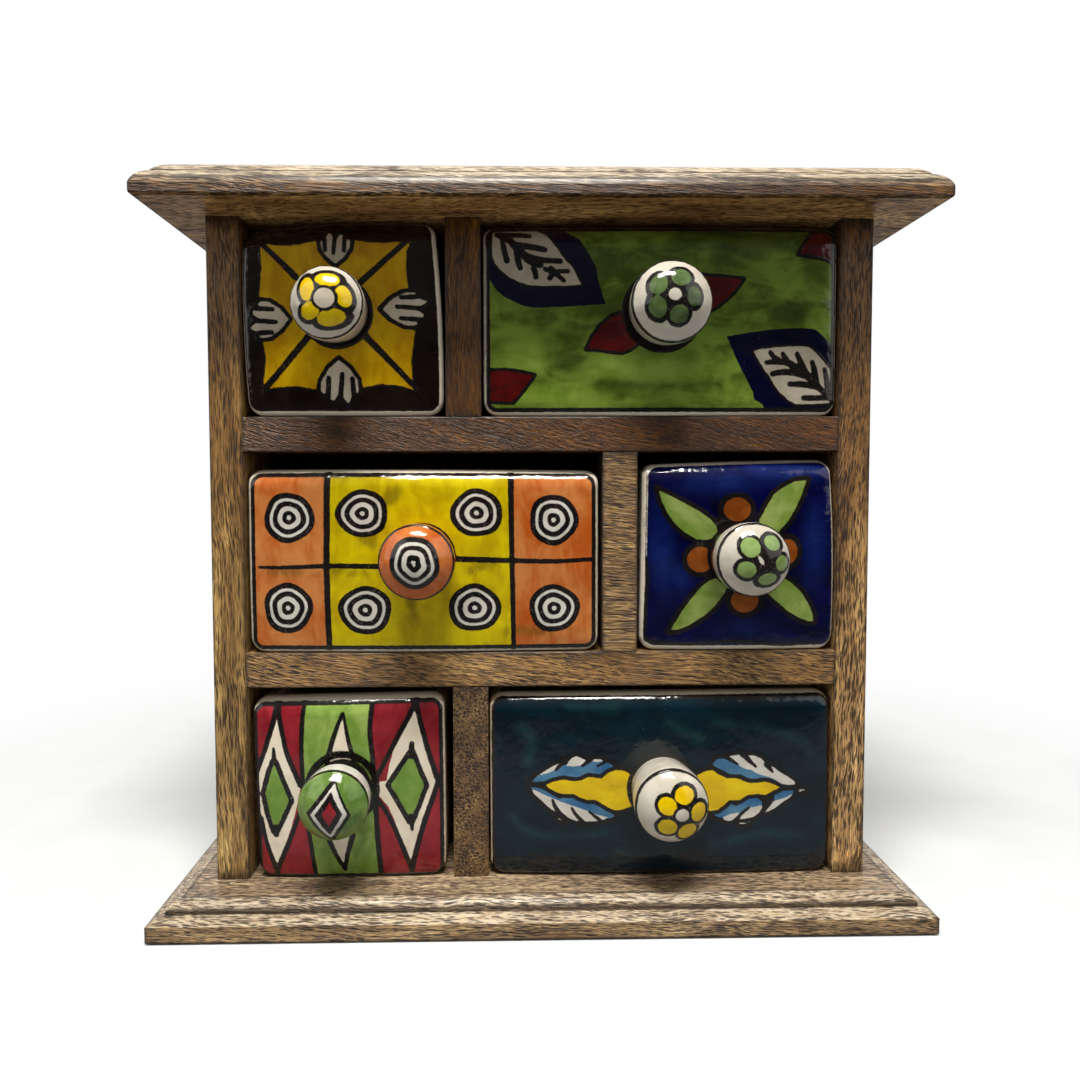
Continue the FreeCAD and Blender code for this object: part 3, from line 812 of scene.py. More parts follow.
def paint_bottom_right(at, border, knob):
    yellow = areas(
        at,
        [(0.8, 48.1), (4, 49.6), (8, 50.5), (12, 49.8), (15, 50.2), (17.5, 51.5), (20, 51.2), (22.5, 50.9),
         (25, 53), (28, 54.2), (31, 54), (33.4, 52.8), (38, 52), (38, 40), (33.4, 39.2), (30.5, 38),
         (28, 37.8), (25, 39), (22, 41), (20, 42), (17, 42), (14.5, 42.8), (12, 44.2), (8, 44.3), (5, 45),
         (2, 46.8)],
        [(56, 51), (60.5, 52.4), (63, 53.6), (65.5, 53.8), (68, 52), (71, 50.6), (75, 50.5), (79, 48.8),
         (82, 48.5), (86, 48.9), (89, 48), (92.3, 46.2), (89, 44.6), (86, 43), (83, 43.7), (79, 43.2),
         (76, 41.3), (72, 41.5), (70, 39.5), (67.5, 37.7), (65, 37.3), (60, 38), (56, 40)],
    )
    blue = areas(
        at,
        [(-4.5, 49.1), (2, 49.5), (5, 50.8), (8, 51.8), (10, 50.8), (13, 50.6), (15, 51.6), (18, 53),
         (20, 51.8), (22.5, 52), (24.5, 54), (27.6, 55.4), (25, 56.6), (22, 57.7), (18.5, 57.6), (15, 56),
         (9, 56), (4, 54), (0, 52.4), (-2.5, 51)],
        [(-4.8, 47.2), (-1.5, 46.9), (0.9, 45.9), (3.7, 44.1), (6.5, 42.7), (9, 43.5), (12.5, 43.1),
         (14.9, 41.9), (17, 40.8), (19.1, 41.2), (21.2, 40.8), (22.9, 39), (25.4, 37.5), (28, 36.1),
         (27, 35.4), (25, 34.9), (20, 36), (10, 39), (3, 42), (-2, 44.5)],
        [(65.2, 55.6), (67, 57.8), (70, 58), (76, 56.4), (84, 53.4), (90, 51), (96, 48.4), (97.6, 47.4),
         (93, 47.6), (88, 49.8), (84, 50.2), (81, 49.4), (78, 50.8), (76, 51.8), (73, 51.3), (70, 53),
         (67, 54.5)],
        [(66, 36), (69, 38.5), (72, 40.5), (75, 39.3), (77, 41), (80, 42.3), (83, 42.3), (85, 40.6),
         (84, 38), (78, 36), (72, 34.6), (68, 35)],
        [(89.4, 43.2), (93, 44.8), (97.5, 45), (96.4, 42.8), (92, 40.6), (89.6, 41.2)],
    )
    white = union(
        areas(
            at,
            [(-2.6, 51.2), (0.2, 53), (3.7, 55.2), (8.2, 57.5), (6.4, 54.9), (4.4, 53.6), (2, 52.7)],
            [(9, 55.4), (10.3, 57.6), (11.4, 58.6), (13, 59.3), (14.6, 58.6), (16.7, 57.6), (16, 56.7),
             (14.9, 55.7), (12.5, 55.3)],
            [(18.2, 57.1), (19.8, 58.1), (22.2, 58.1), (23.5, 57.4), (21.2, 57)],
            [(-4.2, 46.4), (-1.5, 45.3), (0.2, 44.4), (3.7, 43), (7.2, 41.4), (10.7, 40.2), (14.2, 39.1),
             (17.7, 37.8), (21.2, 36.3), (25.5, 35.4), (24, 34.6), (21.7, 33.9), (17, 33.8), (12.8, 34),
             (10, 35.2), (7.8, 36.3), (3.7, 38.3), (2, 39.6), (-0.5, 42.1), (-3.2, 44.4)],
            [(71.3, 58.6), (72.9, 59.1), (75.7, 59.4), (79.4, 59), (81.3, 59), (84.2, 57.8), (85.6, 56.3),
             (87, 54.9), (89.1, 54.3), (91.5, 52.4), (95.1, 50.2), (97.7, 48.3), (97.7, 47.2),
             (95.1, 47.1), (92.2, 47.6), (89.8, 49.3), (87, 50.6), (83.5, 51.5), (80.6, 53.2),
             (77.8, 53.9), (75.4, 55.3), (72.9, 57)],
            [(69.5, 34.8), (70.1, 33.9), (71.9, 33.4), (73.4, 33.8), (74.8, 35.1), (76.3, 36.8),
             (72.9, 36.3), (70.8, 35.6)],
            [(75.8, 34), (78.2, 34.2), (81.4, 34.8), (83.6, 36.3), (84.9, 38.4), (84.8, 39.5), (82, 38.9),
             (79.9, 38.6), (77.6, 37), (76.6, 35.5)],
            [(85.8, 36.5), (86.8, 36.6), (89.9, 38.1), (92.7, 40.2), (95.9, 42.2), (97.3, 43.9),
             (94, 42.2), (91.5, 41.4), (89.3, 40.9), (88.2, 39.3)],
        ),
        strokes(
            at,
            ([(76.2, 32.4), (78.6, 32.5), (80.6, 33.3)], 0.5, 0.2),
            ([(6, 35), (8.4, 33.9)], 0.5, 0.3),
            ([(99.6, 44.7), (101.6, 45.1)], 0.9, 0.3),
        ),
    )
    motif = union(yellow, blue, white)
    quills = strokes(
        at,
        ([(8.9, 58), (5, 53.8)], 1.5, 0.8),
        ([(18.5, 58.1), (15.3, 55.5)], 1.7, 0.9),
        ([(24.6, 57.2), (21.2, 55.5)], 0.7, 0.9),
        ([(3.9, 42.2), (4.8, 39.6), (7, 36.4), (9, 34.4)], 0.8, 2.4),
        ([(11.1, 39.2), (12.8, 36.5), (15.2, 33.8)], 0.7, 1.5),
        ([(17.9, 37.6), (19.8, 36.1), (22.6, 33.8)], 0.6, 1.3),
        ([(70.3, 58.8), (75.2, 55.6)], 1.5, 0.7),
        ([(77, 59.7), (79.5, 57.1), (82.2, 54.6)], 2.3, 0.8),
        ([(86.5, 55.4), (88.9, 52.3)], 2.2, 0.6),
        ([(74.9, 33.6), (76.2, 35.6), (79.6, 38.6)], 1.3, 0.8),
    )
    # Lighter teal strokes: brush patches near the top, and low down a painted reflection.
    lighter_patches_and_reflection = strokes(
        at,
        ([(-8, 71), (-4, 64), (-6, 57)], 2.4, 4),
        ([(48, 72), (54, 68.6), (60, 66)], 2, 3.4),
        ([(66, 72), (84, 69.4), (100, 64), (104, 58)], 1.4, 2.4),
        ([(-12, 36), (-6, 30), (6, 28), (24, 29)], 2.4, 1.6),
        ([(66, 24), (84, 28), (100, 27)], 1.8, 2.6),
        ([(10, 78), (28, 77.6)], 1.4, 2.4),
        ([(28, 21.8), (36, 21.8)], 1.4, 1.2),
        ([(47, 21.8), (54, 21.7)], 1.2, 0.8),
    )
    dark = union(
        np.maximum(motif - 1.5, 0.2 - motif),
        outline(yellow, 1.3, 0.5),
        quills,
        ring(at, knob, 13.0, 1.6),
        outline(border, 1.1, -0.3),
    )
    return [
        ("teal", border),
        ("teal_bright_and_reflection", overlap(lighter_patches_and_reflection, border)),
        ("black_teal", motif - 1.7),
        ("blue", blue),
        ("white", white),
        ("yellow_warm", yellow),
        ("black", overlap(dark, border - 0.4)),
    ]


# Paints: the darker and the lighter tone that the brush leaves. Some also hold painted light: a darker copy
# of the white is painted shade, the darker olive is partly painted shade and the lighter teal partly a
# painted reflection.
PAINTS = {
    "black": ((16, 13, 13), (30, 26, 25)),
    "black_teal": ((14, 22, 26), (26, 36, 40)),
    "umber": ((14, 6, 4), (29, 18, 12)),
    "mustard": ((180, 131, 0), (211, 170, 8)),
    "grey_white": ((186, 173, 152), (206, 195, 177)),
    # A darker copy of the white: painted shade on the top row.
    "stone_white": ((168, 158, 140), (190, 181, 164)),
    "soot": ((84, 74, 14), (104, 92, 22)),
    "olive": ((68, 84, 20), (120, 147, 54)),
    "olive_bright": ((107, 137, 39), (141, 168, 73)),
    "olive_deep_and_shade": ((44, 61, 14), (70, 83, 29)),
    "navy": ((2, 2, 29), (4, 4, 42)),
    "crimson": ((64, 5, 6), (95, 16, 14)),
    "dark_red": ((54, 8, 10), (82, 16, 16)),
    "yellow": ((184, 158, 0), (214, 196, 4)),
    "orange": ((180, 84, 25), (203, 131, 71)),
    "white": ((200, 197, 187), (218, 215, 207)),
    "cream": ((231, 217, 192), (246, 235, 216)),
    "cobalt": ((0, 1, 32), (1, 4, 65)),
    "cobalt_bright": ((9, 26, 94), (25, 48, 117)),
    "leaf_green": ((102, 130, 45), (147, 164, 90)),
    "rust": ((113, 55, 11), (151, 82, 27)),
    "red": ((125, 20, 33), (155, 41, 49)),
    "green": ((108, 143, 53), (152, 178, 93)),
    "green_deep": ((102, 140, 50), (132, 164, 74)),
    "teal": ((1, 18, 29), (4, 32, 44)),
    "teal_bright_and_reflection": ((12, 44, 50), (30, 64, 64)),
    "blue": ((39, 93, 141), (82, 130, 162)),
    "yellow_warm": ((215, 176, 0), (232, 201, 4)),
    "knob_white": ((192, 186, 171), (206, 200, 188)),
    "knob_orange": ((181, 83, 27), (205, 122, 60)),
    "knob_green": ((80, 112, 42), (122, 152, 74)),
    "petal_green": ((107, 136, 66), (145, 171, 104)),
    "moss": ((52, 71, 35), (99, 122, 73)),
}
GLAZE = ((205, 194, 172), (222, 214, 198))

# Paints laid with a wet brush, where the darker olive also holds painted shade and the lighter teal a
# painted reflection: over how many millimetres they fade out, and how well they cover
SOFT = {
    "olive_bright": (3.0, 0.85),
    "olive_deep_and_shade": (2.6, 0.85),
    "cobalt_bright": (3.6, 0.6),
    "teal_bright_and_reflection": (2.6, 0.8),
    "soot": (1.6, 0.5),
}
LINE_GAIN = 0.16


def glaze(name, layers, shift, stroke_way=(1.0, 1.0, 1.0)):
    """Painted stoneware under a clear glossy glaze. layers are paints, the
    lowest first, and each is laid where the attribute "paint_<n>" is below
    zero."""
    s = Shader(name)
    place = s.millimetres(shift)
    broad = s.noise(place, 0.07, 3.0, 0.6, 0.5)
    brush = s.noise(s.stretched(place, stroke_way), 0.13, 3.0, 0.6, 0.8)
    fine = s.noise(place, 1.3, 3.0, 0.6)
    tone = s.step(s.calc("MULTIPLY_ADD", brush, 0.5, s.calc("MULTIPLY", broad, 0.5)), 0.36, 0.64)
    shake = s.calc("MULTIPLY_ADD", s.noise(place, 0.55, 2.0), 0.5, -0.25)
    shake = s.calc("ADD", shake, s.calc("MULTIPLY_ADD", fine, 0.24, -0.12))

    low, high = (srgb(*c) for c in GLAZE)
    colour = s.blend(broad, low, high)
    speck = s.step(s.cells(place, 0.16), 0.02, 0.05, 0.75, 0.0)
    line = 0.0
    for number, paint in enumerate(layers):
        gap = s.calc("ADD", s.attribute(f"paint_{number}"), shake)
        soft = SOFT.get(paint)
        if soft:
            fade, most = soft
            broken = s.calc("MULTIPLY_ADD", brush, 7.0, -3.5)
            cover = s.step(s.calc("ADD", gap, broken), -fade, fade, most, 0.0)
        else:
            gain = LINE_GAIN if paint == "black" else 0.0
            cover = s.step(gap, gain - 0.16, gain + 0.16, 1.0, 0.0)
        dark, light = (srgb(*c) for c in PAINTS[paint])
        mixed = s.blend(tone, dark, light)
        if paint.startswith("black"):
            cover = s.calc("MULTIPLY", cover, s.step(fine, 0.3, 0.42, 0.86, 1.0))
            line = cover
        colour = s.blend(cover, colour, mixed)
    colour = s.blend(speck, colour, srgb(92, 70, 52))

    ripple = s.noise(place, 0.11, 2.0)
    height = s.calc("MULTIPLY_ADD", ripple, 0.55, s.calc("MULTIPLY", fine, 0.006))
    height = s.calc("MULTIPLY_ADD", s.noise(place, 0.45, 2.0), 0.08, height)
    height = s.calc("MULTIPLY_ADD", line, 0.02, height)
    return s.finish(
        Base_Color=colour,
        Roughness=s.step(fine, 0.3, 0.75, 0.07, 0.15),
        Coat_Weight=0.2,
        Coat_Roughness=0.09,
        Normal=s.bump(height),
    )


def plain_glaze(name, shift):
    """Unpainted stoneware: a cream glaze with brown specks and thin spots."""
    s = Shader(name)
    place = s.millimetres(shift)
    broad = s.noise(place, 0.045, 4.0, 0.6)
    fine = s.noise(place, 1.1, 3.0, 0.6)
    low, high = (srgb(*c) for c in GLAZE)
    colour = s.blend(s.step(broad, 0.35, 0.65), low, high)
    speck = s.step(s.cells(place, 0.22), 0.02, 0.06, 0.6, 0.0)
    colour = s.blend(speck, colour, srgb(120, 92, 66))
    ripple = s.noise(place, 0.09, 3.0)
    height = s.calc("MULTIPLY_ADD", ripple, 0.5, s.calc("MULTIPLY", fine, 0.01))
    return s.finish(
        Base_Color=colour,
        Roughness=s.step(fine, 0.3, 0.7, 0.16, 0.28),
        Normal=s.bump(height),
    )


# Mesh making
def new_piece(name, points, faces, body, material, layers=()):
    """A closed, smooth-shaded mesh from points in millimetres, with one
    attribute for each layer of paint."""
    mesh = bpy.data.meshes.new(name)
    mesh.from_pydata((np.asarray(points) * MM).tolist(), [], faces)
    mesh.validate()
    mesh.update()
    for number, values in enumerate(layers):
        made = mesh.attributes.new(f"paint_{number}", "FLOAT", "POINT")
        made.data.foreach_set("value", np.asarray(values, np.float32))
    mesh.polygons.foreach_set("use_smooth", [True] * len(mesh.polygons))
    mesh.materials.append(material)
    piece = bpy.data.objects.new(name, mesh)
    bpy.context.scene.collection.objects.link(piece)
    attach(piece, body)
    return piece


def rings_to_faces(count, rings):
    """Quads between rings of count points that follow each other."""
    faces = []
    for a in range(0, (rings - 1) * count, count):
        b = a + count
        for i in range(count):
            j = (i + 1) % count
            faces.append((a + i, a + j, b + j, b + i))
    return faces


def sway(points, amount, seed):
    """A slow unevenness of hand-made pieces, one value for each point."""
    chance = np.random.default_rng(seed)
    total = np.zeros(len(points))
    for length in (62.0, 41.0, 27.0, 17.0):
        way = chance.normal(size=3)
        way /= np.linalg.norm(way)
        total += np.sin(points @ way * 2 * math.pi / length + chance.uniform(0, 6.3))
    return total * amount / 4


def front_corners(spec):
    row, bottom, top, heights, _ = spec
    floor = ROW_FLOORS[row]
    return [
        (bottom[0], floor),
        (bottom[1], floor),
        (top[1], floor + heights[1]),
        (top[0], floor + heights[0]),
    ]


def rounded_outline(corners, radii, spacing):
    """Points round the outline and the outward direction at each."""
    corners = np.asarray(corners, float)
    count = len(corners)
    points, normals = [], []
    for i in range(count):
        here = corners[i]
        back = corners[i - 1] - here
        onward = corners[(i + 1) % count] - here
        back /= np.linalg.norm(back)
        onward /= np.linalg.norm(onward)
        half = math.acos(np.clip(back @ onward, -1, 1)) / 2
        middle = (back + onward) / np.linalg.norm(back + onward)
        centre = here + middle * radii[i] / math.sin(half)
        first = math.atan2(*(here + back * radii[i] / math.tan(half) - centre)[::-1])
        sweep = math.pi - 2 * half
        steps = max(6, int(radii[i] * sweep / spacing))
        for k in range(steps + 1):
            a = first + sweep * k / steps
            normals.append((math.cos(a), math.sin(a)))
            points.append(centre + radii[i] * np.array(normals[-1]))
        following = corners[(i + 1) % count]
        beyond = corners[(i + 2) % count] - following
        beyond /= np.linalg.norm(beyond)
        after_half = math.acos(np.clip(-onward @ beyond, -1, 1)) / 2
        end = following - onward * radii[(i + 1) % count] / math.tan(after_half)
        run = end - points[-1]
        pieces = max(2, int(np.linalg.norm(run) / spacing))
        start = points[-1]
        side = (onward[1], -onward[0])
        for k in range(1, pieces):
            points.append(start + run * k / pieces)
            normals.append(side)
    return np.array(points), np.array(normals)


# Each front by hand: how far its left, right, lower and upper side bow out,
# and how far the paint stays back from each
BY_HAND = {
    "top_left": ((1.0, 1.4, 0.0, 1.9), (0.6, 1.5, 1.8, 0.6)),
    "top_right": ((0.0, 0.0, 0.0, 0.0), (1.3, 1.1, 1.7, 1.1)),
    "middle_left": ((0.0, 0.0, 0.0, 0.3), (1.4, 1.3, 1.4, 1.5)),
    "middle_right": ((0.0, 0.8, 0.0, 0.3), (2.0, 0.9, 1.9, 1.2)),
    "bottom_left": ((0.0, 0.3, 0.0, 0.0), (0.6, 1.0, 0.4, 1.9)),
    "bottom_right": ((0.0, 0.3, 0.0, 0.0), (1.1, 0.5, 0.5, 1.4)),
}


def crown_drop(spec, at):
    """How far the crowned front falls back at each point."""
    row, bottom, _, heights, _ = spec
    floor = ROW_FLOORS[row]
    half_width = (bottom[1] - bottom[0]) / 2
    half_height = max(heights) / 2
    radius = (half_width**2 + half_height**2) / (2 * CROWN)
    x = at[:, 0] - (bottom[0] + bottom[1]) / 2
    z = at[:, 1] - floor - half_height
    return radius - np.sqrt(radius**2 - x**2 - z**2)


def paint_border(corners, insets, at):
    """Distance from the rounded outline that the paint keeps to, below zero
    inside it."""
    left, right, low, high = insets
    sides = ((3, 0, left), (0, 1, low), (1, 2, right), (2, 3, high))
    over = []
    for first, second, inset in sides:
        a = np.asarray(corners[first])
        along = np.asarray(corners[second]) - a
        along = along / np.linalg.norm(along)
        over.append((at - a) @ np.array([along[1], -along[0]]) + inset)
    across = np.maximum(over[0], over[2]) + PAINT_CORNER
    upright = np.maximum(over[1], over[3]) + PAINT_CORNER
    past = np.hypot(np.maximum(across, 0), np.maximum(upright, 0))
    return past + np.minimum(np.maximum(across, upright), 0) - PAINT_CORNER


def bowed(corners, bows, at):
    """The points moved out where the front's sides bow."""
    left, right, low, high = bows
    middle = np.mean(corners, 0)
    half = np.ptp(corners, 0) / 2
    u, v = np.clip((at - middle) / half, -1, 1).T
    moved = at.copy()
    across = np.where(u > 0, right, -left) * u**2 * (1 - v**2)
    upright = np.where(v > 0, high, -low) * v**2 * (1 - u**2)
    moved[:, 0] += across
    moved[:, 1] += upright
    return moved


def painted_front(place, spec, painter, shift, way, seed):
    corners = front_corners(spec)
    bows, insets = BY_HAND[place]
    radii = (LOW_CORNER, LOW_CORNER, HIGH_CORNER, HIGH_CORNER)
    edge, outward = rounded_outline(corners, radii, FRONT_SPACING)
    count = len(edge)
    foremost = CASE_FRONT - FRONT_PROUD
    back = CASE_FRONT + FRONT_WALL - 0.5

    rows = []
    for inset, y in ((1.2, back), (0.35, back - 0.35), (0.0, back - 1.2)):
        ring_at = edge - outward * inset
        rows.append(np.column_stack([ring_at[:, 0], np.full(count, y), ring_at[:, 1]]))
    shoulder = foremost + crown_drop(spec, edge) + FRONT_ROUND
    for share in (0.35, 0.7):
        y = (back - 1.2) * (1 - share) + shoulder * share
        rows.append(np.column_stack([edge[:, 0], y, edge[:, 1]]))
    for angle in (0, 14, 28, 42, 56, 70, 82):
        a = math.radians(angle)
        ring_at = edge - outward * FRONT_ROUND * (1 - math.cos(a))
        y = foremost + crown_drop(spec, ring_at) + FRONT_ROUND * (1 - math.sin(a))
        rows.append(np.column_stack([ring_at[:, 0], y, ring_at[:, 1]]))

    rim = edge - outward * FRONT_ROUND
    low, high = rim.min(0), rim.max(0)
    xs = np.arange(low[0], high[0], FRONT_SPACING)
    zs = np.arange(low[1], high[1], FRONT_SPACING)
    grid = np.stack(np.meshgrid(xs, zs), -1).reshape(-1, 2)
    grid = grid[area(grid, rim[::2]) < -0.45 * FRONT_SPACING]
    flat = np.vstack([rim, grid])
    loop = list(range(count))
    found = delaunay_2d_cdt([Vector(p) for p in flat], [], [loop], 1, 1e-5)
    face_points = np.array([tuple(p) for p in found[0]])
    y = foremost + crown_drop(spec, face_points)
    start = len(rows) * count
    points = np.vstack(rows + [np.column_stack([face_points[:, 0], y, face_points[:, 1]])])
    faces = rings_to_faces(count, len(rows))
    first_at = {origin[0]: i for i, origin in enumerate(found[3]) if origin and origin[0] < count}
    last = start - count
    for i in range(count):
        j = (i + 1) % count
        faces.append((last + i, last + j, start + first_at[j], start + first_at[i]))
    for triangle in found[2]:
        faces.append(tuple(start + k for k in triangle))
    faces.append(tuple(reversed(range(count))))

    at = points[:, [0, 2]]
    fore = np.clip((back - points[:, 1]) / 4, 0, 1)
    behind = points[:, 1] > foremost + crown_drop(spec, at) + FRONT_ROUND + 1.5
    depth = np.maximum(-area(at, edge), 0)
    points[:, 1] += sway(points, FRONT_SWAY, seed) * fore
    points[:, 1] += PILLOW * np.exp(-depth / PILLOW_REACH) * fore
    upper_edge = np.interp(at[:, 0], [corners[3][0], corners[2][0]], [corners[3][1], corners[2][1]])
    below = np.clip((upper_edge - at[:, 1]) / ROLL_REACH, 0, 1)
    points[:, 1] += ROLL * (1 - below) ** 2 * fore
    border = paint_border(corners, insets, at)
    at = bowed(corners, bows, at)
    points[:, 0] = at[:, 0]
    points[:, 2] = at[:, 1]
    layers = painter(at, border, spec[4])
    steps = [np.clip(values, -PAINT_REACH, PAINT_REACH) for _, values in layers]
    for values in steps:
        values[behind] = PAINT_REACH
    material = glaze("glaze_front_" + place, [paint for paint, _ in layers], shift, way)
    piece = new_piece(
        "painted_front_" + place, points, faces, place + "_drawer", material, steps
    )
    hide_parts("drawer_" + place)


def box_ring(x0, x1, y0, y1, z, radius):
    """A rounded rectangle in plan, with its straight sides cut up."""
    points = []
    turns = 8
    corners = ((x1, y0, -90), (x1, y1, 0), (x0, y1, 90), (x0, y0, 180))
    for x, y, first in corners:
        cx = x - radius if x == x1 else x + radius
        cy = y - radius if y == y1 else y + radius
        for k in range(turns + 1):
            a = math.radians(first + 90 * k / turns)
            points.append((cx + radius * math.cos(a), cy + radius * math.sin(a), z))
    filled = []
    for i, a in enumerate(points):
        b = points[(i + 1) % len(points)]
        long_side = i % (turns + 1) == turns
        pieces = 10 if long_side else 1
        for k in range(pieces):
            filled.append(tuple(p + (q - p) * k / pieces for p, q in zip(a, b)))
    return filled


def tray(place, spec, material, seed):
    """The box behind the painted front, with its hollow."""
    row, bottom, top, heights, _ = spec
    floor = ROW_FLOORS[row]
    rim = floor + min(heights) - RIM_DROP
    height = max(heights)
    front = TRAY_FRONT

    def sides(z):
        share = (z - floor) / height
        left = bottom[0] + (top[0] - bottom[0]) * share
        right = bottom[1] + (top[1] - bottom[1]) * share
        return left, right

    def outer(inset, z):
        left, right = sides(z)
        radius = max(3.0 - inset * 0.3, 1.0)
        return box_ring(left + inset, right - inset, front + inset * 0.4, DRAWER_BACK - inset, z, radius)

    left_in = max(bottom[0], top[0]) + WALL
    right_in = min(bottom[1], top[1]) - WALL

    def inner(inset, z):
        return box_ring(
            left_in + inset,
            right_in - inset,
            CASE_FRONT + FRONT_WALL + inset,
            DRAWER_BACK - WALL - inset,
            z,
            TRAY_CORNER,
        )

    rings = []
    for angle in (90, 72, 54, 36, 18, 0):
        a = math.radians(angle)
        rings.append(outer(LOW_CORNER * (1 - math.cos(a)), floor + LOW_CORNER * (1 - math.sin(a))))
    for share in (0.2, 0.4, 0.6, 0.8):
        rings.append(outer(0, floor + LOW_CORNER + (rim - floor - LOW_CORNER) * share))
    soft = TRAY_SOFT
    for angle in (0, 22, 45, 68, 90):
        a = math.radians(angle)
        rings.append(outer(soft * (1 - math.cos(a)), rim - soft * (1 - math.sin(a))))
    for angle in (90, 68, 45, 22, 0):
        a = math.radians(angle)
        rings.append(inner(-soft * (1 - math.cos(a)), rim - soft * (1 - math.sin(a))))
    hollow = TRAY_HOLLOW
    bed = floor + FLOOR
    for share in (0.2, 0.4, 0.6, 0.8):
        rings.append(inner(0, rim - soft + (bed + hollow - rim + soft) * share))
    for angle in (0, 18, 36, 54, 72, 90):
        a = math.radians(angle)
        rings.append(inner(hollow * (1 - math.cos(a)), bed + hollow * (1 - math.sin(a))))
    count = len(rings[0])
    points = np.array(rings, float).reshape(-1, 3)
    faces = rings_to_faces(count, len(rings))
    faces.append(tuple(reversed(range(count))))
    faces.append(tuple(range(len(points) - count, len(points))))
    amount = sway(points, TRAY_SWAY, seed)
    points[:, 0] -= np.abs(amount) * np.sign(points[:, 0] - (left_in + right_in) / 2) * 0.8
    body = place + "_drawer"
    piece = new_piece("tray_" + place, points, faces, body, material)
    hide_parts("drawer_" + place)


def knob_profile(radius):
    """Forward distance and radius from the foot to the middle of the dome."""
    line = [(-KNOB_SEAT, 0.0), (-KNOB_SEAT, radius * KNOB_FOOT * 0.6), (-KNOB_SEAT, radius * KNOB_FOOT)]
    flank = smooth_curve(
        [(0, KNOB_FOOT * radius), (FLANK_AT, KNOB_FLANK * radius), (SHOULDER_AT, radius)], FLANK_STEPS
    )
    line += [tuple(p) for p in flank]
    rim = radius * KNOB_RIM
    apex = RIM_AT + DOME_RISE
    dome = (rim**2 + DOME_RISE**2) / (2 * DOME_RISE)
    for k in range(1, 7):
        a = math.radians(15 * k)
        reach = (RIM_AT - SHOULDER_AT) * math.sin(a)
        line.append((SHOULDER_AT + reach, radius - (radius - rim) * (1 - math.cos(a)) * 0.9))
    steps = int(rim / DOME_SPACING)
    for k in range(steps):
        r = rim * (1 - k / steps)
        if k:
            line.append((apex - dome + math.sqrt(dome**2 - r**2), r))
    line.append((apex, 0.0))
    return line


def knob_piece(place, spec, painter, base, slot, seed):
    x, z, radius = spec[4]
    face = CASE_FRONT - FRONT_PROUD
    line = knob_profile(radius)
    points = []
    run = []
    for forward, r in line[1:-1]:
        for k in range(KNOB_TURNS):
            a = 2 * math.pi * k / KNOB_TURNS
            points.append((x + r * math.cos(a), face - forward, z + r * math.sin(a)))
            run.append(forward)
    rings = len(line) - 2
    faces = rings_to_faces(KNOB_TURNS, rings)
    points.append((x, face + KNOB_SEAT, z))
    run.append(-KNOB_SEAT)
    points.append((x, face - line[-1][0], z))
    run.append(line[-1][0])
    back, apex = len(points) - 2, len(points) - 1
    last = (rings - 1) * KNOB_TURNS
    for k in range(KNOB_TURNS):
        j = (k + 1) % KNOB_TURNS
        faces.append((k, back, j))
        faces.append((last + k, last + j, apex))
    points = np.array(points)
    run = np.array(run)
    at = points[:, [0, 2]] - (x, z)
    layers = painter(at, run)
    out = 1 + sway(points, KNOB_SWAY, seed)
    points[:, 0] = x + at[:, 0] * out
    points[:, 2] = z + at[:, 1] * out
    steps = [np.clip(values, -PAINT_REACH, PAINT_REACH) for _, values in layers]
    names = [base] + [paint for paint, _ in layers]
    steps = [np.full(len(points), -PAINT_REACH)] + steps
    material = glaze("glaze_knob_" + place, names, (seed * 31.0, 0, seed * 17.0))
    piece = new_piece("round_knob_" + place, points, faces, place + "_drawer", material, steps)
    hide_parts("knob_" + place)


def flower(at, petals, centre, centre_radius, line=1.1, heart=0.0):
    """Petals as turned ellipses, the black round them and the centre."""
    leaf = union(*[ellipse(at, (u, v), radii, turn) for u, v, radii, turn in petals]) - 0.2
    middle = ellipse(at, centre, (centre_radius, centre_radius * 0.96))
    leaf = overlap(leaf, line * 0.9 - middle)
    black = union(leaf - line, middle - line * 0.9, ellipse(at, centre, (heart, heart)) if heart else middle)
    return leaf, middle, black


def on_dome(shape, run):
    return np.where(run > RIM_AT - 0.6, shape, PAINT_REACH)


def rim_line(run, forward, width):
    return np.abs(run - forward) - width / 2


def knob_top_left(at, run):
    petals = [
        (1.5, 6.6, (3.9, 2.3), -6), (-5.5, 3.4, (2.5, 3.9), 8), (-4.4, -4.0, (3.2, 2.7), 20),
        (2.7, -6.2, (4.5, 2.5), 12), (7.0, 1.0, (2.3, 3.5), 14),
    ]
    leaf, middle, black = flower(at, petals, (0.7, 0.1), 3.5, 1.2)
    return [
        ("black", on_dome(black, run)),
        ("yellow_warm", on_dome(leaf, run)),
        ("grey_white", on_dome(middle, run)),
        ("black", rim_line(run, 16.2, 0.6)),
        ("black", run - 3.0),
    ]


def knob_top_right(at, run):
    petals = [
        (1.9, 7.1, (3.3, 2.9), 0), (-5.9, 4.7, (2.7, 3.4), -24), (-6.2, -3.0, (2.7, 3.6), 20),
        (1.2, -5.6, (3.1, 2.8), 10), (6.3, 0.6, (2.4, 3.2), 0),
    ]
    leaf, middle, black = flower(at, petals, (-0.5, 1.0), 2.2, 1.1, 5.6)
    return [
        ("black", on_dome(black, run)),
        ("moss", on_dome(leaf, run)),
        ("knob_white", on_dome(middle, run)),
        ("black", rim_line(run, 15.9, 1.2)),
        ("black", run - 7.0),
    ]


def knob_middle_left(at, run):
    x, z = at.T
    angle = np.arctan2(z, x)
    out = np.hypot(x, z - 0.3) + 0.3 * np.sin(2 * angle + 1.0) + 0.18 * np.sin(5 * angle)
    white = out - 8.2
    rings = union(
        np.abs(out - 8.1) - 0.75,
        np.abs(out - 5.3) - 0.62,
        np.abs(out - 1.8) - 0.85,
    )
    return [
        ("white", on_dome(white, run)),
        ("black", on_dome(rings, run)),
        ("black", rim_line(run, 16.3, 0.8)),
    ]


